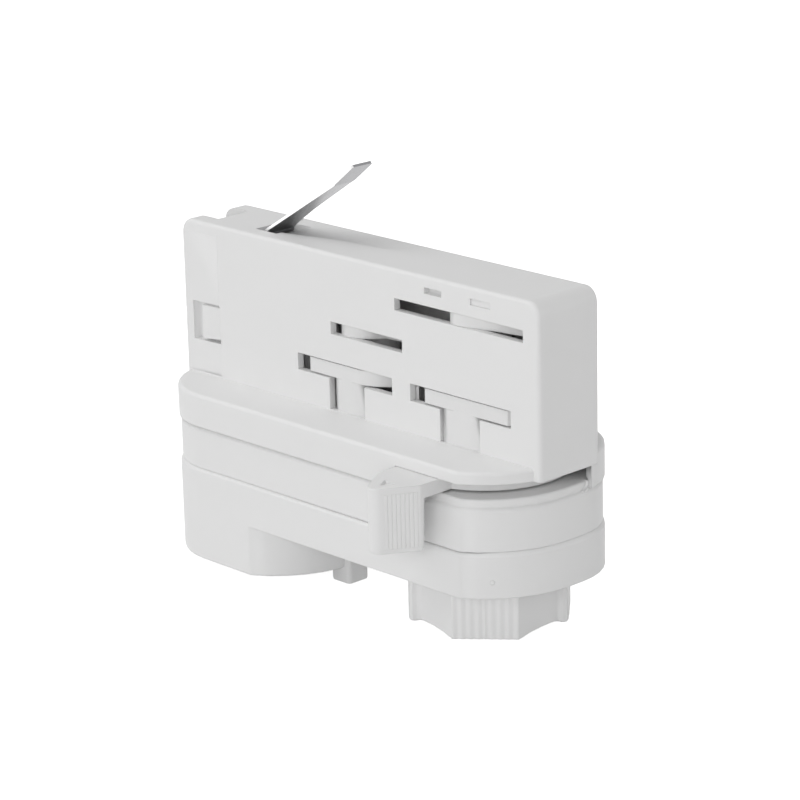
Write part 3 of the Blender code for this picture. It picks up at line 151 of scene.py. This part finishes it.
def metal(name, colour, roughness, streaks, edge, painted_highlight=None):
    """Rolled or turned metal: fine streaks across the roughness and the tone, and, when a highlight
    colour is given, a painted highlight: that brighter colour on the faces that face the front or
    the back."""
    material, tree, shader = new_material(name)
    place = add(tree, "ShaderNodeTexCoord").outputs["Object"]
    stretch = add(tree, "ShaderNodeMapping")
    stretch.inputs["Scale"].default_value = streaks
    tree.links.new(place, stretch.inputs["Vector"])
    lines = noise(tree, stretch.outputs["Vector"], STREAK_SCALE, 3.0, 0.6)
    tone = add(tree, "ShaderNodeMix", data_type="RGBA")
    tone.inputs[6].default_value = (*[value * 0.82 for value in colour], 1.0)
    tone.inputs[7].default_value = (*colour, 1.0)
    tree.links.new(lines, tone.inputs[0])
    if painted_highlight is None:
        tree.links.new(tone.outputs[2], shader.inputs["Base Color"])
    else:
        # Painted highlight: faces turned to the front or the back, the spring leaf's thin edges,
        # get the brighter colour
        facing = add(tree, "ShaderNodeSeparateXYZ")
        tree.links.new(add(tree, "ShaderNodeNewGeometry").outputs["Normal"], facing.inputs[0])
        across = add(tree, "ShaderNodeMath", operation="ABSOLUTE")
        tree.links.new(facing.outputs["Y"], across.inputs[0])
        painted_highlight_mix = add(tree, "ShaderNodeMix", data_type="RGBA")
        painted_highlight_mix.inputs[7].default_value = (*painted_highlight, 1.0)
        tree.links.new(across.outputs[0], painted_highlight_mix.inputs[0])
        tree.links.new(tone.outputs[2], painted_highlight_mix.inputs[6])
        tree.links.new(painted_highlight_mix.outputs[2], shader.inputs["Base Color"])
    tree.links.new(ramp(tree, lines, roughness - 0.07, roughness + 0.09),
                   shader.inputs["Roughness"])
    uneven_normal(tree, shader, lines, edge, METAL_GRAIN, METAL_RELIEF)
    shader.inputs["Metallic"].default_value = 1.0
    return material


MATERIALS = {
    "white_plastic": plastic("white_moulding", 0.80, 0.52, 0.25, 0.00022),
    "rotor_plastic": plastic("rotor_moulding", 0.77, 0.36, 0.18, 0.00016),
    "brass": metal("stamped_brass", (0.80, 0.60, 0.30), 0.30, (1.0, 9.0, 9.0), 0.00008),
    "zinc_steel": metal("zinc_plated_steel", (0.66, 0.68, 0.71), 0.32, (1.0, 1.0, 6.0), 0.00012),
    # The spring's last colour is a painted highlight on its thin edges, which face the front and
    # the back
    "bright_spring": metal("rolled_spring", (0.29, 0.29, 0.30), 0.28, (0.6, 12.0, 0.6), 0.00005,
                           (0.85, 0.85, 0.85)),
}


def wear(piece, node):
    """Puts the piece on the node's body and in its material."""
    piece.data.materials.clear()
    piece.data.materials.append(MATERIALS[SLOT_OF[node]])
    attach(piece, BODY_OF[node])
    return piece


def smooth(piece, angle=33.0):
    """Smooth shading, but for edges sharper than the angle in degrees."""
    piece.data.shade_smooth()
    piece.data.set_sharp_from_angle(angle=radians(angle))
    weighted = piece.modifiers.new("even_shading", "WEIGHTED_NORMAL")
    weighted.keep_sharp = True
    return piece


# Levels and places of the solids that the pieces follow
LEVER_X = 0.0263
LEFT_X = -0.00195
HEAD_TOP = 0.0296
HEAD_HALF = 0.0075
BASE_TOP = -0.00663
COVER_TOP = -0.0148
LEVER_TOP = -0.0025
LIP_TOP = -0.0052
LIP_SIDE = 0.0078
LIP_END = 0.0440

# How near a point lies to the level, ring or plane that it is found by
LEVEL_REACH = 0.00003
RING_REACH = 0.00006
CHEEK_RING_REACH = 0.00012
UPRIGHT_REACH = 1e-5

# Seams, and the lever's window in the skirt
SEAM_LIFT = 0.00022
COVER_SEAM_LIFT = 0.00027
WINDOW_SIDE = 0.0055
WINDOW_BACK = 0.0055
JAMB_RADII = (0.0178, 0.0186, 0.0195)
JAMB_REACH = 0.0002
JAMB_SHIFT_INNER = 0.0021
JAMB_SHIFT_OUTER = 0.0010

# Rotor necks and lugs
NECK_FOOT = 0.0003
NECK_FOOT_REACH = 0.0001
NECK_FOOT_DROP = 0.00026
NECK_TOP = 0.0064
NECK_JOURNAL = 0.0057
NECK_RADIUS = 0.0073
NECK_FRONT = 0.00722
NECK_FRONT_START = -0.0045
NECK_CORNER = -0.0040
NECK_LEFT = -0.0036
NECK_SWEEP_RIGHT = 0.00815
NECK_SWEEP_LEFT = 0.00745
LUG_FRONT = 0.0072
LEFT_LUG_END = 0.00355

# Key recesses, and the taper at the head's left end
HEAD_UPPER = 0.020
RECESS_FLOOR = -0.0069
LEFT_RECESS_DEEPER = 0.0006
RIGHT_RECESS_SHALLOWER = 0.0003
TAPER_TOP = 0.0274
TAPER_START = -0.036
TAPER_DEPTH = 0.0006

# Front snap hook, its two faces the outer one first
HOOK_START = -0.0061
HOOK_EDGE = -0.040
HOOK_FACES = (-0.00745, -0.0070)
HOOK_LOW = 0.008
HOOK_RISE = 0.0005

# Earth spring's slot and trough
SPRING_SLOT_LEFT = -0.0292
SPRING_SLOT_RIGHT = -0.0228
SPRING_SLOT_SHIFT = 0.00075
SPRING_SLOT_HALF = 0.0044
SPRING_SLOT_LOW = 0.0255
SPRING_SLOT_CELLS = 14
SPRING_HINGE_X = -0.0280
SPRING_HINGE_Z = 0.0283
LEAF_SLOPE = 0.325
LEAF_ROOM = 0.0009
TROUGH_START = -0.0272
TROUGH_BEND = -0.0102
TROUGH_RIM = (-0.0042, -0.0001)
TROUGH_DEPTHS = (0.0026, 0.0015)
TROUGH_BACK = 0.0064
HAIR = 0.00003

# Contact carriers in their slots, the skirt's rings as radii and depths
CHEEK_RADIUS = 0.0069
CHEEK_HALF = (0.0008, 0.0011)
PHASE_REACH = 0.0074
PHASE_LEVEL = 0.0231
PHASE_SLOT_HEIGHT = 0.0022
NEUTRAL_REACH = 0.00692
NEUTRAL_LEVEL = 0.01565
NEUTRAL_SLOT_HEIGHT = 0.0023
SKIRT_RINGS = ((0.0060, 0.0), (0.00595, 0.0008), (0.00595, 0.0026))
SKIRT_BORE = 0.0049
SKIRT_STEPS = 24
PHASE_SKIRT_ANGLES = (-100.0, 0.0)
NEUTRAL_SKIRT_ANGLES = (-120.0, -50.0)
WING_FRONT = ((0.0262, -0.00735), (0.0296, -0.0068), (0.0340, -0.0057), (0.0410, -0.0044))
WING_BACK = ((0.0410, -0.0020), (0.0262, -0.0040))

# Knob, its flank from the broad face's corner to the narrow lobe's
KNOB_TURN = 41.0
KNOB_FACE = 0.0143
KNOB_FACE_HALF = 0.0059
KNOB_FLANK = [(0.0066, 0.0130), (0.0078, 0.0107), (0.0096, 0.0080), (0.0112, 0.0060),
              (0.0121, 0.0051), (0.0127, 0.0050), (0.0134, 0.0054), (0.0140, 0.0052),
              (0.0142, 0.0046)]
KNOB_RIBS = 8
KNOB_RIB_POINTS = 8
KNOB_RIB_RISE = 0.0002
KNOB_RIB_SHIFT = 0.2
KNOB_END_POINTS = 12
KNOB_END_WAVES = 2
KNOB_END_RISE = 0.00016
KNOB_RIM = ((0.0, 0.0004), (0.00012, 0.00012), (0.0004, 0.0))
KNOB_SHARP = 40.0
KNOB_TOP = -0.0232
KNOB_BOTTOM = -0.0327

# Wing tab
TAB_INNER = -0.0209
TAB_ROOT = 0.0218
TAB_ROOT_HALF = 0.0052
TAB_NOSE = 0.02765
TAB_NOSE_HALF = 0.00165
TAB_RIBS = 8
TAB_RIB_HALF = 0.00036
TAB_RIB_RISE = 0.000025
TAB_RIB_TOP = -0.0034
TAB_RIB_BOTTOM = -0.0134
RIB_ROOT = 0.0002
RIB_STEPS = 8
RIB_SHARP = 60.0

# Fillet in the lever window's lower corner
FOOT_INNER = 0.0186
FOOT_OUTER = 0.01985
FOOT_ANGLES = (11.3, 16.2)
FOOT_LOW = -0.0066
FOOT_HIGH = -0.00495
FOOT_ROOT = 0.0003
FOOT_STEPS = 12

# Mark of the mould's gate on the drum, its profile as shares of the radius and rises
DRUM_RADIUS = 0.0199
GATE_ANGLE = -44.0
GATE_Z = -0.0199
GATE_RADIUS = 0.00045
GATE_POINTS = 20
GATE_PROFILE = ((1.0, -0.0001), (1.0, -0.00002), (0.75, -0.00001), (0.5, -0.00002),
                (0.2, -0.00003))


def near(value, level, reach=LEVEL_REACH):
    return abs(value - level) < reach


def close_seams(shape):
    """Lifts the base's upper rim to the skirt, except in the lever's window."""
    for vert in shape.verts:
        in_window = vert.co.x > LEVER_X - WINDOW_SIDE and vert.co.y < WINDOW_BACK
        if near(vert.co.z, BASE_TOP) and not in_window:
            vert.co.z += SEAM_LIFT


def close_cover_seam(shape):
    for vert in shape.verts:
        if near(vert.co.z, COVER_TOP):
            vert.co.z += COVER_SEAM_LIFT


def raise_lever(shape):
    for vert in shape.verts:
        if near(vert.co.z, LEVER_TOP):
            vert.co.z += SEAM_LIFT


def flat_neck(axis_x, sweep):
    """A rotor's neck with a flat front within the radius it may sweep, down on the ledge."""
    def reshape(shape):
        for vert in shape.verts:
            x, y, z = vert.co.x - axis_x, vert.co.y, vert.co.z
            radius = sqrt(x * x + y * y)
            if 0.0 < z < NECK_FOOT + NECK_FOOT_REACH and radius > NECK_JOURNAL:
                vert.co.z = NECK_FOOT - NECK_FOOT_DROP
            on_ring = near(radius, NECK_RADIUS, RING_REACH)
            if not on_ring or y > NECK_FRONT_START or z > NECK_TOP:
                continue
            if x > NECK_CORNER:
                x = max(x, NECK_LEFT)
                vert.co.y = -min(NECK_FRONT, sqrt(sweep * sweep - x * x))
            vert.co.x = axis_x + max(x, NECK_LEFT)
    return reshape


def deepen_recess(shape):
    """The key recesses, the lever window's end, the spring's slot and the taper's top."""
    for vert in shape.verts:
        x, y, z = vert.co
        upper = z > HEAD_UPPER
        if upper and near(y, RECESS_FLOOR):
            vert.co.y += LEFT_RECESS_DEEPER if x < LEVER_X else -RIGHT_RECESS_SHALLOWER
        dx = x - LEVER_X
        radius = sqrt(dx * dx + y * y)
        if near(y, WINDOW_BACK, JAMB_REACH) and JAMB_RADII[0] < radius < JAMB_RADII[2]:
            inner = radius < JAMB_RADII[1]
            vert.co.y = WINDOW_BACK + (JAMB_SHIFT_INNER if inner else JAMB_SHIFT_OUTER)
            vert.co.x = LEVER_X + sqrt(radius * radius - vert.co.y ** 2)
        if upper and near(x, SPRING_SLOT_LEFT):
            vert.co.x += SPRING_SLOT_SHIFT
        beside = HEAD_HALF - TAPER_DEPTH < abs(y) < HEAD_HALF
        if beside and near(z, TAPER_TOP) and x < TAPER_START:
            vert.co.y = HEAD_HALF if y > 0 else -HEAD_HALF


def fill_slot(axis_x, reach, level, slot_height):
    """A carrier's disc brought out in the slot and as tall as it, but for a hair."""
    def reshape(shape):
        for vert in shape.verts:
            rise = vert.co.z - level
            radius = sqrt((vert.co.x - axis_x) ** 2 + vert.co.y ** 2)
            if near(radius, CHEEK_RADIUS, CHEEK_RING_REACH):
                vert.co.x = axis_x + (vert.co.x - axis_x) * reach / radius
                vert.co.y *= reach / radius
            if CHEEK_HALF[0] < abs(rise) < CHEEK_HALF[1]:
                half = slot_height / 2 - HAIR
                vert.co.z = level + (half if rise > 0 else -half)
    return reshape


def flush_hook(shape):
    """The front snap hook, flush with the wall at its outer edge."""
    for vert in shape.verts:
        x, y, z = vert.co
        if y < HOOK_START:
            outer = x < HOOK_EDGE
            vert.co.y = HOOK_FACES[0] if outer else HOOK_FACES[1]
            if z < HOOK_LOW and not outer:
                vert.co.z += HOOK_RISE


RESHAPED = {
    "base_housing": close_seams,
    "bottom_cover": close_cover_seam,
    "lever": raise_lever,
    "right_lock_rotor": flat_neck(LEVER_X, NECK_SWEEP_RIGHT),
    "left_lock_rotor": flat_neck(LEFT_X, NECK_SWEEP_LEFT),
    "contact_housing": deepen_recess,
    "spring_insert": flush_hook,
    "phase_contact_carrier": fill_slot(LEVER_X, PHASE_REACH, PHASE_LEVEL, PHASE_SLOT_HEIGHT),
    "neutral_contact_carrier": fill_slot(LEFT_X, NEUTRAL_REACH, NEUTRAL_LEVEL, NEUTRAL_SLOT_HEIGHT),
}


def lip_edge(first, second):
    """The outer part of the rim of the base's lip."""
    outside = (max(abs(first.y), abs(second.y)) > LIP_SIDE
               or max(first.x, second.x) > LIP_END)
    return near(first.z, LIP_TOP) and near(second.z, LIP_TOP) and outside


def lug_end(first, second):
    """The upright edge at the left lug's right end."""
    upright = (first - second).xy.length < UPRIGHT_REACH
    return upright and near(first.x, LEFT_LUG_END) and near(first.y, -LUG_FRONT)


def tab_edges(first, second):
    """The rims of the wing tab."""
    return max(first.y, second.y) < TAB_INNER


# The least angle of an edge that is rounded, and the most between faces made one again
ROUNDED_ANGLE = 20.0
FLAT_ANGLE = 0.4
WELD_REACH = 1e-6

# Node, the edges to round, the radius and the segments
ROUNDED = {
    "base_housing": (lip_edge, 0.0007, 4),
    "left_lock_rotor": (lug_end, 0.0024, 6),
    "lever": (tab_edges, 0.0008, 4),
}


def placed(name, shape, node):
    """An object of the shape, on the node's body and in its material."""
    mesh = bpy.data.meshes.new(name)
    shape.to_mesh(mesh)
    shape.free()
    piece = bpy.data.objects.new(name, mesh)
    SCENE.collection.objects.link(piece)
    return wear(piece, node)


def refined(node):
    """The node's solid with its flat faces whole again, real rounded edges and smooth arcs."""
    shape = bmesh.new()
    shape.from_mesh(NODES[node].data)
    bmesh.ops.remove_doubles(shape, verts=shape.verts, dist=WELD_REACH)
    bmesh.ops.dissolve_limit(shape, angle_limit=radians(FLAT_ANGLE), verts=shape.verts,
                             edges=shape.edges)
    if node in RESHAPED:
        RESHAPED[node](shape)
    if node in ROUNDED:
        chooser, radius, segments = ROUNDED[node]
        chosen = [edge for edge in shape.edges
                  if chooser(edge.verts[0].co, edge.verts[1].co) and not edge.is_boundary
                  and edge.calc_face_angle(0.0) > radians(ROUNDED_ANGLE)]
        bmesh.ops.bevel(shape, geom=chosen, offset=radius, segments=segments, profile=0.5,
                        affect="EDGES", clamp_overlap=True)
    piece = placed(node + "_piece", shape, node)
    smooth(piece)
    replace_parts(piece, node)


def solid(name, rings, node):
    """A closed body through rings of points, capped at both ends, worn like the node."""
    shape = bmesh.new()
    loops = [[shape.verts.new(point) for point in ring] for ring in rings]
    count = len(loops[0])
    shape.faces.new(reversed(loops[0]))
    shape.faces.new(loops[-1])
    for low, high in zip(loops, loops[1:]):
        for index in range(count):
            after = (index + 1) % count
            shape.faces.new((low[index], low[after], high[after], high[index]))
    bmesh.ops.recalc_face_normals(shape, faces=shape.faces)
    return placed(name, shape, node)


def carrier_skirt(name, node, axis_x, top, start, stop):
    """The carrier's round body below its disc, which fills the view through the slot."""
    rings = []
    for radius, depth in SKIRT_RINGS:
        outer = []
        inner = []
        for step in range(SKIRT_STEPS + 1):
            angle = radians(start + (stop - start) * step / SKIRT_STEPS)
            outer.append((axis_x + radius * cos(angle), radius * sin(angle), top - depth))
            inner.append((axis_x + SKIRT_BORE * cos(angle), SKIRT_BORE * sin(angle),
                          top - depth))
        rings.append(outer + inner[::-1])
    smooth(solid(name, rings, node))


def carrier_wing():
    """The web from the phase carrier's disc to its arm, which shows dim through the slot."""
    half = PHASE_SLOT_HEIGHT / 2 - HAIR
    rings = [[(x, y, PHASE_LEVEL + z) for x, y in WING_FRONT + WING_BACK] for z in (-half, half)]
    smooth(solid("phase_carrier_wing", rings, "phase_contact_carrier"))


def wave(share):
    """Runs from 0 to 1 and back over each whole step of the share."""
    return 0.5 - 0.5 * cos(2 * pi * share)


def knob_outline():
    """The knob in plan: two broad ribbed lobes, two narrow ones and hollow flanks between."""
    quarter = []
    steps = KNOB_RIB_POINTS * KNOB_RIBS
    for step in range(steps // 2 + 1):
        across = KNOB_FACE_HALF * 2 * step / steps
        share = KNOB_RIBS * across / (2 * KNOB_FACE_HALF) + KNOB_RIB_SHIFT
        quarter.append((across, KNOB_FACE - KNOB_RIB_RISE * wave(share)))
    quarter += KNOB_FLANK
    for step in range(1, KNOB_END_POINTS + 1):
        share = step / KNOB_END_POINTS
        quarter.append((KNOB_FACE - KNOB_END_RISE * wave(KNOB_END_WAVES * share),
                        KNOB_FLANK[-1][1] * (1 - share)))
    half = quarter + [(x, -y) for x, y in reversed(quarter[:-1])]
    whole = half + [(-x, y) for x, y in reversed(half[1:-1])]
    turn = radians(KNOB_TURN)
    return [(LEVER_X + x * cos(turn) + y * sin(turn), x * sin(turn) - y * cos(turn))
            for x, y in whole]


def build_knob():
    """The knob's body with a rounded lower rim."""
    outline = knob_outline()

    def ring(z, inset):
        points = []
        for x, y in outline:
            dx = x - LEVER_X
            scale = 1.0 - inset / sqrt(dx * dx + y * y)
            points.append((LEVER_X + dx * scale, y * scale, z))
        return points

    rings = [ring(KNOB_BOTTOM + rise, inset) for rise, inset in KNOB_RIM]
    rings.append(ring(KNOB_TOP, 0.0))
    knob = solid("knob_body", rings, "selector_knob")
    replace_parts(smooth(knob, KNOB_SHARP), "selector_knob")


def tab_ribs():
    """Faint upright ribs on the two faces of the wing tab."""
    for side in (-1, 1):
        start = Vector((LEVER_X + side * TAB_ROOT_HALF, -TAB_ROOT))
        stop = Vector((LEVER_X + side * TAB_NOSE_HALF, -TAB_NOSE))
        along = (stop - start).normalized()
        out = Vector((along.y, -along.x))
        if out.x * side < 0:
            out = -out
        length = (stop - start).length
        for index in range(TAB_RIBS):
            centre = start + along * length * (index + 1.0) / (TAB_RIBS + 1.0)
            section = []
            for step in range(RIB_STEPS + 1):
                angle = pi * step / RIB_STEPS
                offset = along * (TAB_RIB_HALF * cos(angle)) + out * (TAB_RIB_RISE * sin(angle))
                section.append(centre + offset)
            section.append(centre - along * TAB_RIB_HALF - out * RIB_ROOT)
            section.append(centre + along * TAB_RIB_HALF - out * RIB_ROOT)
            rings = [[(p.x, p.y, z) for p in section] for z in (TAB_RIB_BOTTOM, TAB_RIB_TOP)]
            smooth(solid("tab_rib_%d_%d" % (index, side + 1), rings, "lever"), RIB_SHARP)


def window_foot():
    """The hollow fillet where the base's rim rises to the lever window's end."""
    rings = []
    for step in range(FOOT_STEPS + 1):
        share = step / FOOT_STEPS
        angle = radians(FOOT_ANGLES[0] + (FOOT_ANGLES[1] - FOOT_ANGLES[0]) * share)
        top = FOOT_LOW + (FOOT_HIGH - FOOT_LOW) * (1.0 - sqrt(1.0 - share * share))
        rings.append([(LEVER_X + radius * cos(angle), radius * sin(angle), z)
                      for radius, z in ((FOOT_INNER, FOOT_LOW - FOOT_ROOT),
                                        (FOOT_OUTER, FOOT_LOW - FOOT_ROOT),
                                        (FOOT_OUTER, top), (FOOT_INNER, top))])
    smooth(solid("window_foot", rings, "base_housing"))


def gate_mark():
    """The small round mark that the mould's gate leaves on the drum."""
    turn = radians(GATE_ANGLE)
    out = Vector((cos(turn), sin(turn), 0.0))
    side = Vector((-sin(turn), cos(turn), 0.0))
    centre = Vector((LEVER_X, 0.0, GATE_Z)) + out * DRUM_RADIUS
    rings = []
    for share, rise in GATE_PROFILE:
        ring = []
        for step in range(GATE_POINTS):
            angle = 2 * pi * step / GATE_POINTS
            ring.append(centre + side * GATE_RADIUS * share * cos(angle)
                        + Vector((0, 0, GATE_RADIUS * share * sin(angle))) + out * rise)
        rings.append(ring)
    smooth(solid("gate_mark", rings, "bottom_cover"), RIB_SHARP)


def slot_floor():
    """Closes the spring's slot under the leaf's lowest way, flush with the trough."""
    left, right = SPRING_SLOT_LEFT + SPRING_SLOT_SHIFT, SPRING_SLOT_RIGHT
    low = SPRING_SLOT_LOW
    rings = []
    for column in range(SPRING_SLOT_CELLS + 1):
        x = left + (right - left) * column / SPRING_SLOT_CELLS
        share = min(max((x - TROUGH_START) / (TROUGH_BEND - TROUGH_START), 0.0), 1.0)
        rim = TROUGH_RIM[0] + share * (TROUGH_RIM[1] - TROUGH_RIM[0])
        depth = TROUGH_DEPTHS[0] + share * (TROUGH_DEPTHS[1] - TROUGH_DEPTHS[0])
        swept = SPRING_HINGE_Z + max(x - SPRING_HINGE_X, 0.0) * LEAF_SLOPE - LEAF_ROOM
        line = []
        for row in range(SPRING_SLOT_CELLS + 1):
            y = -SPRING_SLOT_HALF + 2 * SPRING_SLOT_HALF * row / SPRING_SLOT_CELLS
            fall = min(max((TROUGH_BACK - y) / (TROUGH_BACK - rim), 0.0), 1.0)
            line.append((x, y, min(HEAD_TOP - depth * fall, swept) - HAIR))
        rings.append(line + [(x, line[-1][1], low), (x, line[0][1], low)])
    smooth(solid("spring_slot_floor", rings, "contact_housing"))


for node_name in NODES:
    if node_name != "selector_knob":
        refined(node_name)
build_knob()
tab_ribs()
slot_floor()
carrier_skirt("phase_carrier_skirt", "phase_contact_carrier", LEVER_X,
              PHASE_LEVEL - PHASE_SLOT_HEIGHT / 2 + HAIR, *PHASE_SKIRT_ANGLES)
carrier_skirt("neutral_carrier_skirt", "neutral_contact_carrier", LEFT_X,
              NEUTRAL_LEVEL - NEUTRAL_SLOT_HEIGHT / 2 + HAIR, *NEUTRAL_SKIRT_ANGLES)
carrier_wing()
window_foot()
gate_mark()


# Studio
FLOOR_HALF = 2.0
FLOOR_SHADE = 0.80
FLOOR_ROUGHNESS = 0.9
FLOOR_GLOW = 0.85
WORLD_LIGHT = 0.34
WHITE = (1.0, 1.0, 1.0, 1.0)


def background_rays(tree):
    """1 for the rays that show the background: the camera's, mirrored and passed ones."""
    path = add(tree, "ShaderNodeLightPath")
    seen = add(tree, "ShaderNodeMath", operation="MAXIMUM")
    tree.links.new(path.outputs["Is Camera Ray"], seen.inputs[0])
    tree.links.new(path.outputs["Is Glossy Ray"], seen.inputs[1])
    either = add(tree, "ShaderNodeMath", operation="MAXIMUM")
    tree.links.new(seen.outputs[0], either.inputs[0])
    tree.links.new(path.outputs["Is Transmission Ray"], either.inputs[1])
    return either.outputs[0]


def studio():
    """A pale floor that keeps the object's shadow, and a white world."""
    shape = bmesh.new()
    bmesh.ops.create_grid(shape, x_segments=2, y_segments=2, size=FLOOR_HALF)
    mesh = bpy.data.meshes.new("floor")
    shape.to_mesh(mesh)
    shape.free()
    floor = bpy.data.objects.new("floor", mesh)
    floor.location = (0.0, 0.0, CAD_BOX[0][2])
    SCENE.collection.objects.link(floor)
    material, tree, shader = new_material("pale_floor")
    shader.inputs["Base Color"].default_value = (FLOOR_SHADE, FLOOR_SHADE, FLOOR_SHADE, 1.0)
    shader.inputs["Roughness"].default_value = FLOOR_ROUGHNESS
    shader.inputs["Specular IOR Level"].default_value = 0.0
    glow = add(tree, "ShaderNodeMath", operation="MULTIPLY")
    glow.inputs[1].default_value = FLOOR_GLOW
    tree.links.new(background_rays(tree), glow.inputs[0])
    shader.inputs["Emission Color"].default_value = WHITE
    tree.links.new(glow.outputs[0], shader.inputs["Emission Strength"])
    mesh.materials.append(material)

    world = bpy.data.worlds.new("studio")
    world.use_nodes = True
    SCENE.world = world
    tree = world.node_tree
    background = tree.nodes["Background"]
    background.inputs["Color"].default_value = WHITE
    strength = ramp(tree, background_rays(tree), WORLD_LIGHT, 1.0)
    tree.links.new(strength, background.inputs["Strength"])


# Name, place, edge length and power of each soft lamp, all aimed at the object
LAMPS = (
    ("front_left_softbox", (-0.284, -0.781, 0.177), 0.55, 0.70),
    ("front_right_softbox", (0.416, -0.720, 0.177), 0.55, 2.50),
    ("back_right_softbox", (0.588, 0.588, 0.177), 0.55, 1.20),
    ("high_left_softbox", (-0.521, -0.301, 0.601), 0.55, 1.60),
    ("top_softbox", (0.0, -0.148, 0.837), 0.55, 1.20),
)


def softbox(name, place, size, power):
    """A square lamp that looks at the object's middle."""
    data = bpy.data.lights.new(name, "AREA")
    data.shape = "SQUARE"
    data.size = size
    data.energy = power
    lamp = bpy.data.objects.new(name, data)
    lamp.location = place
    lamp.rotation_euler = (-Vector(place)).to_track_quat("-Z", "Y").to_euler()
    SCENE.collection.objects.link(lamp)


def camera():
    """The photograph's camera, with its slight roll."""
    azimuth, elevation = radians(CAMERA_AZIMUTH), radians(CAMERA_ELEVATION)
    ahead = Vector((-sin(azimuth) * cos(elevation), cos(azimuth) * cos(elevation),
                    -sin(elevation)))
    side = Vector((cos(azimuth), sin(azimuth), 0.0))
    up = side.cross(ahead)
    roll = radians(CAMERA_ROLL)
    right = cos(roll) * side + sin(roll) * up
    top = -sin(roll) * side + cos(roll) * up
    turn = Matrix((right, top, -ahead)).transposed().to_4x4()
    data = bpy.data.cameras.new("camera")
    data.lens = CAMERA_LENS
    data.sensor_width = SENSOR_WIDTH
    data.clip_start = NEAR_CLIP
    eye = bpy.data.objects.new("camera", data)
    eye.matrix_world = Matrix.Translation(CAMERA_PLACE) @ turn
    SCENE.collection.objects.link(eye)
    SCENE.camera = eye


studio()
for lamp_name, lamp_place, lamp_size, lamp_power in LAMPS:
    softbox(lamp_name, lamp_place, lamp_size, lamp_power)
camera()
SCENE.view_settings.view_transform = "Standard"
